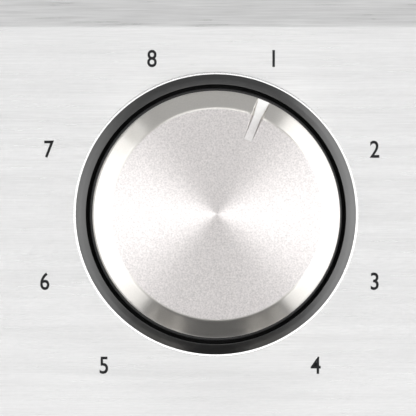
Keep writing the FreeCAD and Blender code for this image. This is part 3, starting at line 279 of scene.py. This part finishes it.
def moulded_plastic(name, code, size, low, high, relief_height):
    """Moulded black plastic with the fine spark-eroded grain of its mould. The grain's size and its
    relief_height are in millimetres; low and high are roughness."""
    made, tree = blank(name)
    texture = grain(tree, (size, size, size), 2.0, 0.6)
    patch = grain(tree, (25, 25, 25), 2.0)
    tone = add(tree, "MapRange", {"To Min": 0.9, "To Max": 1.12}, {"Value": patch})
    colour = add(tree, "VectorMath", {"operation": "SCALE", 0: linear(code)[:3]}, {"Scale": tone})
    rough = add(tree, "MapRange", {"To Min": low, "To Max": high}, {"Value": texture})
    relief = add(tree, "Bump", {"Strength": 0.4, "Distance": relief_height * MM}, {"Height": texture})
    finish(tree, {"IOR": 1.5}, {"Base Color": colour, "Roughness": rough, "Normal": relief})
    return made


def steatite_ceramic():
    """Pressed steatite, fired: off-white and matt, with faint grey specks."""
    made, tree = blank("fired_steatite")
    specks = grain(tree, (0.6, 0.6, 0.6), 3.0, 0.7)
    amount = add(tree, "MapRange", {"From Min": 0.62, "From Max": 0.72}, {"Value": specks})
    colour = add(tree, "Mix", {"data_type": "RGBA", 6: linear("#E6E1D5"), 7: linear("#BDB7AA")},
                 {0: amount})
    finish(tree, {"Roughness": 0.68, "IOR": 1.55}, {"Base Color": colour.outputs[2]})
    return made


def printed_board():
    """Glass-epoxy board under green solder mask, with paler copper tracks 0.8 mm wide along the edges
    of fields of 9 mm by 3.2 mm."""
    made, tree = blank("green_circuit_board")
    where = add(tree, "TexCoord")
    bricks = add(tree, "TexBrick", {"Scale": 1.0, "Brick Width": 9 * MM, "Row Height": 3.2 * MM,
                                    "Mortar Size": 0.4 * MM, "Color1": linear("#174A2C"),
                                    "Color2": linear("#1B5231"), "Mortar": linear("#2E7444")})
    swap = add(tree, "SeparateXYZ", {}, {0: where.outputs["Object"]})
    flat = add(tree, "CombineXYZ", {}, {0: swap.outputs["X"], 1: swap.outputs["Z"]})
    tree.links.new(flat.outputs[0], bricks.inputs["Vector"])
    relief = add(tree, "Bump", {"Strength": 0.4, "Distance": 0.04 * MM}, {"Height": bricks.outputs["Fac"]})
    finish(tree, {"Roughness": 0.32, "IOR": 1.5}, {"Base Color": bricks.outputs["Color"], "Normal": relief})
    return made


def printed_ink():
    """Screen-printed epoxy ink, near black and semi-matt, a little uneven in gloss."""
    made, tree = blank("black_screen_print_ink")
    cloud = grain(tree, (0.7, 0.7, 0.7), 2.0)
    colour = add(tree, "Mix", {"data_type": "RGBA", 6: linear("#171719"), 7: linear("#202022")}, {0: cloud})
    rough = add(tree, "MapRange", {"To Min": 0.5, "To Max": 0.66}, {"Value": cloud})
    finish(tree, {"Specular IOR Level": 0.2}, {"Base Color": colour.outputs[2], "Roughness": rough})
    return made


def white_enamel():
    """White enamel in the pointer's groove: smooth and glossy. Painted shade greys it towards its inner
    end, so that it blends into the face's shaded tone there; it is also rougher there."""
    made, tree = blank("white_enamel_fill")
    where = add(tree, "TexCoord")
    reach = add(tree, "VectorMath", {"operation": "SUBTRACT", 1: (KNOB_X * MM, 0, KNOB_Z * MM)},
                {0: where.outputs["Object"]})
    flat = add(tree, "VectorMath", {"operation": "MULTIPLY", 1: (1, 0, 1)}, {0: reach})
    away = add(tree, "VectorMath", {"operation": "LENGTH"}, {0: flat})
    shade_fade = add(tree, "MapRange", {"interpolation_type": "SMOOTHSTEP", "From Min": ENAMEL_SHADED_END * MM,
                                   "From Max": ENAMEL_UNSHADED_FROM * MM}, {"Value": away.outputs["Value"]})
    cloud = grain(tree, (0.4, 0.4, 0.4), 2.0)
    white = add(tree, "Mix", {"data_type": "RGBA", 6: linear("#F1F1EF"), 7: linear("#F9F9F8")}, {0: cloud})
    # Painted shade: the enamel turns grey towards its inner end, matching the face's shaded tone around it
    painted_shade_grey = add(tree, "Mix", {"data_type": "RGBA", 6: linear("#C9C6C5"), 7: linear("#E3E0DF")}, {0: cloud})
    colour = add(tree, "Mix", {"data_type": "RGBA"}, {0: shade_fade, 6: painted_shade_grey.outputs[2], 7: white.outputs[2]})
    rough = add(tree, "MapRange", {"To Min": 0.5, "To Max": 0.25}, {"Value": shade_fade})
    finish(tree, {"IOR": 1.5}, {"Base Color": colour.outputs[2], "Roughness": rough})
    return made


def toughened_glass():
    """Clear toughened soda-lime pane; lamps light what is behind it through a plain tint."""
    made, tree = blank("toughened_glass")
    light = add(tree, "LightPath")
    glass = add(tree, "BsdfPrincipled", {"Base Color": linear("#E4ECE8"), "Roughness": 0.0, "IOR": 1.5,
                                         "Transmission Weight": 1.0})
    clear = add(tree, "BsdfTransparent", {"Color": linear("#E4ECE8")})
    both = add(tree, "MixShader", {}, {0: light.outputs["Is Shadow Ray"], 1: glass, 2: clear})
    add(tree, "OutputMaterial", {}, {"Surface": both})
    return made


def display_acrylic():
    """Smoked acrylic over the display: black and glossy, with faint smears in the gloss."""
    made, tree = blank("smoked_acrylic")
    smear = grain(tree, (30, 30, 12), 3.0)
    haze = add(tree, "MapRange", {"To Min": 0.05, "To Max": 0.14}, {"Value": smear})
    colour = add(tree, "Mix", {"data_type": "RGBA", 6: linear("#0B0C10"), 7: linear("#12141A")}, {0: smear})
    finish(tree, {"IOR": 1.49}, {"Base Color": colour.outputs[2], "Roughness": haze})
    return made


black_plastic = moulded_plastic("black_moulded_abs", "#232324", 0.35, 0.42, 0.55, 0.03)
gloss_plastic = moulded_plastic("black_gloss_moulded_abs", "#1D1D20", 0.6, 0.16, 0.24, 0.004)
silicone = moulded_plastic("black_silicone_rubber", "#2A2A2C", 0.5, 0.62, 0.78, 0.04)
ALUMINIUM = "#E7E3E2"
knob_metal = spun_aluminium("turned_aluminium_knob", ALUMINIUM, (KNOB_X, 0, KNOB_Z), BEVEL_START)

SLOTS = {
    "casing_steel": casing_steel, "panel_steel": panel_steel, "zinc_sheet": galvanised_sheet(),
    "cavity_steel": aluminised_sheet(), "rack_wire": plated_wire(), "element_steel": oxidised_sheath(),
    "ceramic": steatite_ceramic(), "window_glass": toughened_glass(), "display_glass": display_acrylic(),
    "silicone": silicone, "bright_screw": zinc_plated_steel(), "handle_metal": handle_steel,
    "black_plastic": black_plastic, "knob_metal": knob_metal, "pointer_white": white_enamel(),
    "bright_trim": polished_trim(), "circuit_board": printed_board(),
}
for name, node in nodes.items():
    for i, old in enumerate(node.data.materials):
        node.data.materials[i] = SLOTS[old.name.split(".")[0]]
nodes["front_frame"].data.materials[0] = frame_steel
nodes["small_knob_bezels"].data.materials[0] = gloss_plastic

# Each turned piece fans its lights out from its own middle
for name in ("temperature_knob", "time_knob", "start_button", "cancel_button"):
    across, up = middle_of(name)
    nodes[name].data.materials[0] = spun_aluminium("turned_aluminium_" + name, ALUMINIUM, (across, 0, up),
                                                   SMALL_BEVEL_START)


# Turned pieces

# How many points round off a corner
CORNER_POINTS = 7
TURNED_COLUMNS = 360


def eased(corners, radii, closed=False):
    """A profile with rounded corners. Each corner gives way to a quadratic curve between its two tangent
    points: the squares of what is left and of what has passed weigh those two points, and twice
    their product weighs the corner."""
    corners = np.array(corners, float)
    count = len(corners)
    runs = []
    for i in range(count):
        here = corners[i]
        if radii[i] == 0 or (not closed and i in (0, count - 1)):
            runs.append(here[None])
            continue
        before, after = corners[i - 1] - here, corners[(i + 1) % count] - here
        before, after = before / np.linalg.norm(before), after / np.linalg.norm(after)
        turn = math.pi - math.acos(np.clip(before @ after, -1, 1))
        cut = radii[i] * math.tan(turn / 2)
        first, last = here + before * cut, here + after * cut
        t = np.linspace(0, 1, CORNER_POINTS)[:, None]
        runs.append((1 - t) ** 2 * first + 2 * t * (1 - t) * here + t ** 2 * last)
    return np.vstack(runs)


def woven_faces(rows, columns, wrap_rows=False):
    """Corner numbers of the quads of a grid. Its last column joins the first one, and with wrap_rows
    its last row joins the first one too."""
    i = np.arange(rows if wrap_rows else rows - 1)[:, None]
    j = np.arange(columns)[None, :]
    below, beside = (i + 1) % rows, (j + 1) % columns
    return np.stack([i * columns + j, below * columns + j, below * columns + beside, i * columns + beside],
                    axis=-1).reshape(-1, 4)


def place_piece(name, points, faces, material, body, sharp=32):
    """Puts points in millimetres and faces into a new object that rides on a body. The faces of a
    closed surface are turned outward where the volume inside them comes out negative. Edges that turn
    by more than sharp degrees stay sharp."""
    mesh = bpy.data.meshes.new(name)
    mesh.from_pydata((np.asarray(points).reshape(-1, 3) * MM).tolist(), [], faces)
    mesh.validate()
    shape = bmesh.new()
    shape.from_mesh(mesh)
    if shape.calc_volume(signed=True) < 0:
        bmesh.ops.reverse_faces(shape, faces=shape.faces)
        shape.to_mesh(mesh)
    shape.free()
    mesh.shade_smooth()
    mesh.set_sharp_from_angle(angle=math.radians(sharp))
    mesh.materials.append(material)
    piece = bpy.data.objects.new(name, mesh)
    scene.collection.objects.link(piece)
    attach(piece, body)
    return piece


def turned_points(radius, depth, angle, middle_x, middle_z):
    """Points at a radius and a depth (y), at clockwise angles from the top as seen from the front:
    across by the radius times the angle's sine, and up by the radius times its cosine."""
    radius, depth, angle = np.broadcast_arrays(radius, depth, angle)
    return np.stack([middle_x + radius * np.sin(angle), depth, middle_z + radius * np.cos(angle)], axis=-1)


def turned_ring(name, corners, radii, material, body):
    """A closed profile of radii and depths (y), its corners rounded, carried round the knob's axis."""
    profile = eased(corners, radii, True)
    angle = np.linspace(0, 2 * np.pi, TURNED_COLUMNS, endpoint=False)
    points = turned_points(profile[:, :1], profile[:, 1:], angle[None], KNOB_X, KNOB_Z)
    faces = woven_faces(len(profile), TURNED_COLUMNS, wrap_rows=True)
    return place_piece(name, points, faces.tolist(), material, body)


# Function knob: radii, and depths from its face, in millimetres
FACE_RADIUS = 17.35
RIM_RADIUS = 20.12
BACK_RADIUS = 20.33
BORE_RADIUS = 18.75
SEAT_DEPTH = 4.6
EDGE_ROUNDING = [0, 1.0, 0.5, 0.25, 0, 0, 0]
ROWS_PER_STEP = 8
# The pointer's groove and its enamel; the groove's widths are halves
POINTER_ANGLE = math.radians(22.5)
GROOVE_START = 13.1
GROOVE_SOFT = 1.4
GROOVE_SLOPE = math.tan(math.radians(24))
GROOVE_HALF = 0.68
GROOVE_WIDENING = 0.3
WIDENING_START = 17.2
WIDENING_LENGTH = 2.8
WALL_GAP = 0.01
WALL_STEEPNESS = 5
# The two columns of the lip beside the groove's top edge
LIP_NEAR, LIP_FAR = 0.05, 0.16
ENAMEL_START = 13.05
ENAMEL_END_GAP = 0.03
ENAMEL_ROWS = 33
ENAMEL_DEPTH = 0.3
ENAMEL_DEPTH_RUN = 0.1
ENAMEL_HOLLOW = 0.02
ENAMEL_LIFT = 0.004
ENAMEL_FLOOR_GAP = 0.05
ENAMEL_DRAW = 0.08
ENAMEL_DRAW_LENGTH = 3
# Outside the groove the knob has even columns, which start this many degrees from the pointer
CLEAR_ANGLE = 6
EVEN_COLUMNS = 300


def groove_drop(reach):
    """How far the enamel lies below the face: a parabola over the first 1.4 mm, the square of the
    distance over twice that length, then a straight fall, both times the slope of 24 degrees."""
    past = np.maximum(reach - GROOVE_START, 0)
    soft = past ** 2 / (2 * GROOVE_SOFT)
    return GROOVE_SLOPE * np.where(past < GROOVE_SOFT, soft, past - GROOVE_SOFT / 2)


def groove_half(reach):
    """Half the width of the groove's floor: 0.68 mm over the face, then in a straight line up to 0.3 mm
    more over the 2.8 mm from a radius of 17.2 mm."""
    return GROOVE_HALF + GROOVE_WIDENING * np.clip((reach - WIDENING_START) / WIDENING_LENGTH, 0, 1)


def knob_profile():
    """Radii and depths of the knob's cap from its face round to its seat, with eight rows to each step
    of the outline over the face, the bevel and the side."""
    back = KNOB_BACK_Y - FACE_Y
    corners = [(0, 0), (FACE_RADIUS, 0), (RIM_RADIUS, RIM_RADIUS - FACE_RADIUS), (BACK_RADIUS, back),
               (BORE_RADIUS, back), (BORE_RADIUS, SEAT_DEPTH), (0, SEAT_DEPTH)]
    outline = eased(corners, EDGE_ROUNDING)
    # The last four points run from the back edge over the bore to the seat's middle, which is a pole
    front, inside = outline[:-4], outline[-4:-1]
    rows = np.arange(len(front))
    steps = np.linspace(0, len(front) - 1, ROWS_PER_STEP * (len(front) - 1) + 1)
    front = np.stack([np.interp(steps, rows, front[:, 0]), np.interp(steps, rows, front[:, 1])], axis=1)
    return np.vstack([front[1:], inside])


def groove_columns(reach, depth):
    """Angles and extra depths of the eleven columns along the pointer's groove. They keep a straight
    distance from its middle line, so their angle is the arc sine of that distance over the radius.
    The floor falls outward, and the walls lean out by a fifth of the enamel's depth below the face."""
    floor = groove_drop(reach) + ENAMEL_DEPTH * np.clip((reach - GROOVE_START) / ENAMEL_DEPTH_RUN, 0, 1)
    open_here = (reach >= GROOVE_START) & (reach != BORE_RADIUS)
    fall = np.where(open_here, np.maximum(floor - depth, 0), 0)
    half = groove_half(reach)
    top = half + WALL_GAP + np.maximum(fall - ENAMEL_DEPTH, 0) / WALL_STEEPNESS
    lip, outer = top + LIP_NEAR, top + LIP_FAR
    across = np.hstack([-outer, -lip, -top, -half, -half / 2, half * 0, half / 2, half, top, lip, outer])
    share = np.array([[0, 0.02, 0.06, 1, 1, 1, 1, 1, 0.06, 0.02, 0]])
    return np.arcsin(np.clip(across / np.maximum(reach, GROOVE_START), -1, 1)), fall * share


def function_knob():
    """The knob's cap: a profile turned round the axis (flat face, 45 degree bevel rounding over into a
    straight side), with the pointer's groove pressed into it."""
    profile = knob_profile()
    reach, depth = profile[:, :1], profile[:, 1:]
    in_groove, fall = groove_columns(reach, depth)
    even = np.radians(np.linspace(CLEAR_ANGLE, 360 - CLEAR_ANGLE, EVEN_COLUMNS))
    even = np.broadcast_to(even, (len(profile), EVEN_COLUMNS))
    angle = np.hstack([even, in_groove])
    deep = depth + np.hstack([even * 0, fall])
    points = turned_points(reach, FACE_Y + deep, angle + POINTER_ANGLE, KNOB_X, KNOB_Z)
    rows, columns = points.shape[:2]
    ring = np.arange(columns)
    beside = (ring + 1) % columns
    last = (rows - 1) * columns
    front_pole, back_pole = rows * columns, rows * columns + 1
    faces = woven_faces(rows, columns).tolist()
    faces += np.stack([np.full(columns, front_pole), ring, beside], axis=1).tolist()
    faces += np.stack([last + ring, np.full(columns, back_pole), last + beside], axis=1).tolist()
    poles = [[KNOB_X, FACE_Y, KNOB_Z], [KNOB_X, FACE_Y + SEAT_DEPTH, KNOB_Z]]
    piece = place_piece("turned_knob", np.vstack([points.reshape(-1, 3), poles]), faces, knob_metal,
                        "function_knob", sharp=28)
    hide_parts("knob_cap")


def pointer_fill():
    """The groove's enamel: a bar on the sloping floor, a grid along by across, closed below. Its top
    falls with the floor and is hollow across by 0.02 mm, as poured enamel draws down, and it draws
    away from the walls by up to 0.08 mm over the first 3 mm."""
    along = np.linspace(ENAMEL_START, RIM_RADIUS - ENAMEL_END_GAP, ENAMEL_ROWS)[:, None]
    share = np.array([[-1, -1, -0.8, -0.4, 0, 0.4, 0.8, 1, 1]])
    drawn = ENAMEL_DRAW * np.clip((along - GROOVE_START) / ENAMEL_DRAW_LENGTH, 0, 1)
    side = share * (groove_half(along) - drawn)
    drop = groove_drop(along) + ENAMEL_HOLLOW * (1 - share ** 2) - ENAMEL_LIFT
    drop[:, [0, -1]] += ENAMEL_DEPTH - ENAMEL_FLOOR_GAP
    cos, sin = math.cos(POINTER_ANGLE), math.sin(POINTER_ANGLE)
    points = np.stack([KNOB_X + along * sin + side * cos, FACE_Y + drop, KNOB_Z + along * cos - side * sin],
                      axis=-1)
    rows, columns = points.shape[:2]
    faces = woven_faces(rows, columns).tolist()
    first = list(range(columns))
    faces += [first, [v + (rows - 1) * columns for v in reversed(first)]]
    piece = place_piece("pointer_enamel", points, faces, SLOTS["pointer_white"], "function_knob",
                        sharp=40)
    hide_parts("knob_pointer")


# Cup, its rim, the bright ring and the knob's skirt, in millimetres. What is called proud or lift is
# measured forward from the panel's face and a drop back from the cup's top; the skirt's depths are
# negative in front of the panel.
CUP_PROUD = 1.2
SHAFT_HOLE = 4.05
WELL_RADIUS = 21.35
WELL_DEPTH = 5
CUP_STEM = 22.92
CUP_BACK = 6.5
CUP_TOP_Y = PANEL_Y - CUP_PROUD
RIM_BEND, RIM_BEND_DROP = 22.2, 0.53
CUP_EDGE, CUP_EDGE_DROP = 23.02, 1.17
CUP_EDGE_LIFT = 0.02
# Faces that look forward by more than this are the plated rim
RIM_FACING = 0.3
RING_INNER, RING_SHOULDER, RING_OUTER = 23.04, 23.36, 23.4
RING_INNER_PROUD, RING_SHOULDER_PROUD = 0.08, 0.066
SKIRT_INNER, SKIRT_LIP, SKIRT_OUTER = 20.34, 20.6, 20.74
SKIRT_FRONT, SKIRT_LIP_FRONT, SKIRT_SIDE_FRONT, SKIRT_BACK = -1.1, -1.05, -0.85, 1.4


def knob_cup():
    """The cup: a matt well behind the knob, and a black chrome rim that rounds over to the panel."""
    matt_black = moulded_plastic("matt_black_abs", "#0A0A0B", 0.4, 0.6, 0.7, 0.03)
    corners = [(SHAFT_HOLE, PANEL_Y + WELL_DEPTH), (WELL_RADIUS, PANEL_Y + WELL_DEPTH),
               (WELL_RADIUS, CUP_TOP_Y), (RIM_BEND, CUP_TOP_Y + RIM_BEND_DROP),
               (CUP_EDGE, CUP_TOP_Y + CUP_EDGE_DROP), (CUP_EDGE, PANEL_Y - CUP_EDGE_LIFT),
               (CUP_STEM, PANEL_Y - CUP_EDGE_LIFT), (CUP_STEM, PANEL_Y + CUP_BACK),
               (SHAFT_HOLE, PANEL_Y + CUP_BACK)]
    cup = turned_ring("knob_cup", corners, [0, 0, 0.08, 3.0, 0.05, 0, 0, 0, 0], matt_black, "casing")
    cup.data.materials.append(black_chrome())
    facing = np.empty(len(cup.data.polygons) * 3)
    cup.data.polygons.foreach_get("normal", facing)
    middles = np.empty(len(cup.data.polygons) * 3)
    cup.data.polygons.foreach_get("center", middles)
    on_rim = (facing[1::3] < -RIM_FACING) & (middles[1::3] < PANEL_Y * MM)
    cup.data.polygons.foreach_set("material_index", on_rim.astype(np.int32))
    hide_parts("knob_bezel")


def bright_ring():
    """The thin polished ring round the cup, highest at its inner edge."""
    corners = [(RING_INNER, PANEL_Y - RING_INNER_PROUD), (RING_SHOULDER, PANEL_Y - RING_SHOULDER_PROUD),
               (RING_OUTER, PANEL_Y), (RING_INNER, PANEL_Y)]
    ring = turned_ring("bright_ring", corners, [0.01, 0.02, 0, 0], SLOTS["bright_trim"], "casing")
    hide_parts("bezel_trim")


def knob_skirt():
    """A thin black skirt pressed over the back edge of the knob's metal cap, clear of the cup's wall."""
    corners = [(SKIRT_INNER, PANEL_Y + SKIRT_FRONT), (SKIRT_LIP, PANEL_Y + SKIRT_LIP_FRONT),
               (SKIRT_OUTER, PANEL_Y + SKIRT_SIDE_FRONT), (SKIRT_OUTER, PANEL_Y + SKIRT_BACK),
               (SKIRT_INNER, PANEL_Y + SKIRT_BACK)]
    turned_ring("knob_skirt", corners, [0.01, 0.08, 0.08, 0.1, 0.01], black_plastic, "function_knob")


function_knob()
pointer_fill()
knob_cup()
bright_ring()
knob_skirt()


# Printed marks, in millimetres

INK = printed_ink()
INK_THICKNESS = 0.04
# The middle of the numbers' ink, and the front of the ticks', which lie half their thickness deep
INK_Y = PANEL_Y - INK_THICKNESS / 2
# Middles of the eight numbers round the knob, across and up from its axis
NUMBER_PLACES = [(9.5, 25.6), (26.1, 10.7), (26.1, -11.0), (16.4, -24.8),
                 (-18.4, -24.8), (-28.1, -11.0), (-27.4, 10.7), (-10.5, 25.6)]
NUMBER_SIZE = 3.95
NUMBER_NARROWING = 0.86
NUMBER_WEIGHT = 0.05
TICK_COUNT = 11
TICK_SWEEP = 135
TICK_INNER, TICK_OUTER = 14.8, 16.4
TICK_HALF = 0.22


def number_shape(number):
    """The vertices and faces of a number's flat letter shape, its middle at the origin."""
    text = bpy.data.curves.new("number", "FONT")
    text.body = str(number)
    text.size = NUMBER_SIZE
    text.extrude = INK_THICKNESS / 2
    text.resolution_u = 6
    text.offset = NUMBER_WEIGHT
    holder = bpy.data.objects.new("number", text)
    mesh = bpy.data.meshes.new_from_object(holder)
    flat = np.empty(len(mesh.vertices) * 3)
    mesh.vertices.foreach_get("co", flat)
    flat = flat.reshape(-1, 3)
    faces = [list(face.vertices) for face in mesh.polygons]
    bpy.data.objects.remove(holder)
    bpy.data.meshes.remove(mesh)
    bpy.data.curves.remove(text)
    return flat - (flat.max(axis=0) + flat.min(axis=0)) / 2, faces


def printed_numbers():
    """The numbers 1 to 8, each set upright on the panel with 0.04 mm of ink: its shape narrowed to 0.86
    of its width, and moved to its place from the knob's axis."""
    corners, faces = [], []
    for number, (across, up) in enumerate(NUMBER_PLACES, 1):
        flat, shape_faces = number_shape(number)
        start = sum(len(c) for c in corners)
        corners.append(np.stack([KNOB_X + across + flat[:, 0] * NUMBER_NARROWING, INK_Y - flat[:, 2],
                                 KNOB_Z + up + flat[:, 1]], axis=1))
        faces += [[start + v for v in face] for face in shape_faces]
    place_piece("printed_numbers", np.vstack(corners), faces, INK, "casing")


def printed_shapes(name, outlines, front, body):
    """Flat printed shapes: each outline, anticlockwise from the front, is carried back by the ink's
    thickness."""
    corners, faces = [], []
    for outline in outlines:
        count = len(outline)
        ring = np.arange(count) + len(corners)
        after = np.roll(ring, -1)
        corners += [(x, front, z) for x, z in outline] + [(x, front + INK_THICKNESS, z) for x, z in outline]
        faces += [ring.tolist(), (ring[::-1] + count).tolist()]
        faces += np.stack([after, ring, ring + count, after + count], axis=1).tolist()
    place_piece(name, corners, faces, INK, body)


def tick_outlines(knob):
    """Eleven bars round a small knob, every 27 degrees, with a gap at the bottom. A bar's corners lie at
    its inner or outer radius along the angle's direction, and half its width to either side."""
    middle_x, middle_z = middle_of(knob)
    outlines = []
    for angle in np.radians(np.linspace(-TICK_SWEEP, TICK_SWEEP, TICK_COUNT)):
        out = np.array([math.sin(angle), math.cos(angle)])
        side = np.array([-out[1], out[0]])
        corners = ((TICK_INNER, -TICK_HALF), (TICK_OUTER, -TICK_HALF), (TICK_OUTER, TICK_HALF),
                   (TICK_INNER, TICK_HALF))
        bar = [out * reach + side * across for reach, across in corners]
        outlines.append([(middle_x + x, middle_z + z) for x, z in bar])
    return outlines


def button_mark(button, shape):
    """A plain shape on a button's face: its corners are given in millimetres from the face's middle."""
    middle_x, middle_z = middle_of(button)
    face_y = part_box(button)[0].y / MM
    outline = [(middle_x + x, middle_z + z) for x, z in shape]
    printed_shapes(button + "_mark", [outline], face_y - INK_THICKNESS / 2, button)


printed_numbers()
printed_shapes("printed_ticks", tick_outlines("temperature_knob") + tick_outlines("time_knob"),
               INK_Y, "casing")
button_mark("start_button", [(-1.5, -2.2), (2.4, 0), (-1.5, 2.2)])
button_mark("cancel_button", [(-1.8, -1.8), (1.8, -1.8), (1.8, 1.8), (-1.8, 1.8)])


# Camera, lamps, world and floor

# The camera stands 2.5 m away, a little to the left, and its picture is 68.35 mm wide. The middle of
# the picture lies VIEW_LEFT millimetres to the left of the knob's axis and VIEW_UP above it.
FRAME_WIDTH = 68.35 * MM
CAMERA_DISTANCE = 2.5
CAMERA_SIDE = math.radians(-0.6)
SENSOR_WIDTH = 36
VIEW_LEFT = 1.29
VIEW_UP = 1.04


def aimed(location, target):
    """The turn that points an object's -Z axis from its place to a target."""
    return (Vector(target) - Vector(location)).to_track_quat("-Z", "Y").to_euler()


def main_camera():
    """A long lens almost square to the panel, aimed at the middle of the picture."""
    target = Vector(((KNOB_X - VIEW_LEFT) * MM, PANEL_Y * MM, (KNOB_Z + VIEW_UP) * MM))
    data = bpy.data.cameras.new("camera")
    data.sensor_width = SENSOR_WIDTH
    data.lens = SENSOR_WIDTH * CAMERA_DISTANCE / FRAME_WIDTH
    camera = bpy.data.objects.new("camera", data)
    camera.location = target + Vector((math.sin(CAMERA_SIDE), -math.cos(CAMERA_SIDE), 0)) * CAMERA_DISTANCE
    camera.rotation_euler = aimed(camera.location, target)
    scene.collection.objects.link(camera)
    scene.camera = camera


def soft_box(name, location, target, width, height, radiance):
    """A rectangular studio lamp of an even brightness, which the camera doesn't see."""
    data = bpy.data.lights.new(name, "AREA")
    data.shape = "RECTANGLE"
    data.size = width
    data.size_y = height
    data.energy = radiance * math.pi * width * height
    lamp = bpy.data.objects.new(name, data)
    lamp.location = location
    lamp.rotation_euler = aimed(location, target)
    lamp.visible_camera = False
    scene.collection.objects.link(lamp)


# Lamps at each side, in metres: how far out and forward of the knob's middle they stand
SIDE_OUT = 1.9
BESIDE_FORWARD, BESIDE_WIDTH = 0.45, 0.9
AHEAD_FORWARD, AHEAD_WIDTH, AHEAD_HEIGHT = 2.125, 2.45, 3.3
# Left, then right: the side, how far the box beside is lifted, its height and its radiance, and the
# radiance of the box ahead
SIDES = ((-1, -0.08, 4.65, 1.9, 0.7), (1, 0.1, 4.95, 2.3, 1.05))


def studio_lamps():
    """At each side a tall narrow box beside the oven and a wide one further forward; a box in front
    round the camera, and one in front above."""
    centre = Vector((KNOB_X * MM, PANEL_Y * MM, KNOB_Z * MM))
    for side, lift, height, radiance, ahead_radiance in SIDES:
        outward = Vector((side, 0, 0))
        beside = centre + Vector((side * SIDE_OUT, -BESIDE_FORWARD, lift))
        soft_box("side_box", beside, beside - outward, BESIDE_WIDTH, height, radiance)
        ahead = centre + Vector((side * SIDE_OUT, -AHEAD_FORWARD, 0))
        soft_box("side_box_ahead", ahead, ahead - outward, AHEAD_WIDTH, AHEAD_HEIGHT, ahead_radiance)
    soft_box("front_box", centre + Vector((0.1, -3.0, -0.28)), centre, width=3.2, height=1.05, radiance=1.9)
    soft_box("upper_box", centre + Vector((0, -2.2, 2.2)), centre, width=2.4, height=0.9, radiance=1.6)


# How bright the backdrop is behind the camera, and behind the oven
HORIZON = (0.5, 0.86)
ZENITH = (0.38, 0.7)
NADIR = (0.06, 0.6)
FLOOR_LEVEL = 0.85
FLOOR_SIDES = 96
# Radii of the floor's rings, and where it starts and ends its fade into the backdrop, in metres
FLOOR_RINGS = [0.3, 0.6, 1.0, 2.0, 4.0, 8.0, 16.0, 60.0]
FADE_START, FADE_END = 0.6, 1.8
FLOOR_DROP = 0.0002


def studio_world():
    """The backdrop: paler behind the oven than behind the camera, and darker overhead and below."""
    world = bpy.data.worlds.new("studio")
    scene.world = world
    world.use_nodes = True
    sky = world.node_tree
    sky.nodes.clear()
    look = add(sky, "TexCoord")
    way = add(sky, "SeparateXYZ", {}, {0: look.outputs["Generated"]})
    horizon, zenith, nadir = (
        add(sky, "MapRange", {"interpolation_type": "SMOOTHSTEP", "From Min": 0.1, "From Max": 0.7,
                              "To Min": near, "To Max": far}, {"Value": way.outputs["Y"]})
        for near, far in (HORIZON, ZENITH, NADIR))
    upper = add(sky, "MapRange", {}, {"Value": way.outputs["Z"], "To Min": horizon, "To Max": zenith})
    lower = add(sky, "MapRange", {"interpolation_type": "SMOOTHSTEP", "From Min": -0.85, "From Max": -0.3},
                {"Value": way.outputs["Z"], "To Min": nadir, "To Max": horizon})
    shaded = add(sky, "Math", {"operation": "MINIMUM"}, {0: upper, 1: lower})
    # A pale strip where the floor ends, as bright as the floor
    height = add(sky, "Math", {"operation": "ABSOLUTE"}, {0: way.outputs["Z"]})
    strip = add(sky, "MapRange", {"interpolation_type": "SMOOTHSTEP", "From Min": 0.06, "From Max": 0.12,
                                  "To Min": FLOOR_LEVEL, "To Max": 0.0}, {"Value": height})
    level = add(sky, "Math", {"operation": "MAXIMUM"}, {0: shaded, 1: strip})
    backdrop = add(sky, "Background", {"Color": (1, 1, 1, 1)}, {"Strength": level})
    add(sky, "OutputWorld", {}, {"Surface": backdrop})


def floor_material():
    """Pale matt paper near the oven, fading at a distance into the backdrop's level."""
    made, tree = blank("pale_studio_floor")
    where = add(tree, "TexCoord")
    away = add(tree, "VectorMath", {"operation": "LENGTH"}, {0: where.outputs["Object"]})
    fade = add(tree, "MapRange", {"interpolation_type": "SMOOTHSTEP", "From Min": FADE_START,
                                  "From Max": FADE_END}, {"Value": away.outputs["Value"]})
    near = add(tree, "BsdfDiffuse", {"Color": (0.8, 0.8, 0.8, 1)})
    far = add(tree, "Emission", {"Color": (1, 1, 1, 1), "Strength": FLOOR_LEVEL})
    both = add(tree, "MixShader", {}, {0: fade, 1: near, 2: far})
    # Metal sees the backdrop's own shading in place of the floor
    light = add(tree, "LightPath")
    passed = add(tree, "Math", {"operation": "MAXIMUM"}, {0: light.outputs["Is Glossy Ray"],
                                                          1: light.outputs["Is Shadow Ray"]})
    clear = add(tree, "BsdfTransparent")
    choice = add(tree, "MixShader", {}, {0: passed, 1: both, 2: clear})
    add(tree, "OutputMaterial", {}, {"Surface": choice})
    return made


def studio_floor():
    """A flat round floor just under the feet: rings of points at a radius times the cosine and the sine
    of an angle, joined by quads and closed in the middle by one face."""
    reach = np.array(FLOOR_RINGS)
    angle = np.linspace(0, 2 * np.pi, FLOOR_SIDES, endpoint=False)
    x = reach[:, None] * np.cos(angle)[None]
    y = reach[:, None] * np.sin(angle)[None]
    points = np.stack([x, y, np.full_like(x, -FLOOR_DROP)], axis=-1).reshape(-1, 3)
    faces = woven_faces(len(reach), FLOOR_SIDES)[:, ::-1].tolist() + [list(range(FLOOR_SIDES))]
    mesh = bpy.data.meshes.new("floor")
    mesh.from_pydata(points.tolist(), [], faces)
    mesh.validate()
    mesh.materials.append(floor_material())
    floor = bpy.data.objects.new("floor", mesh)
    scene.collection.objects.link(floor)


main_camera()
studio_lamps()
studio_world()
studio_floor()
scene.view_settings.view_transform = "Standard"
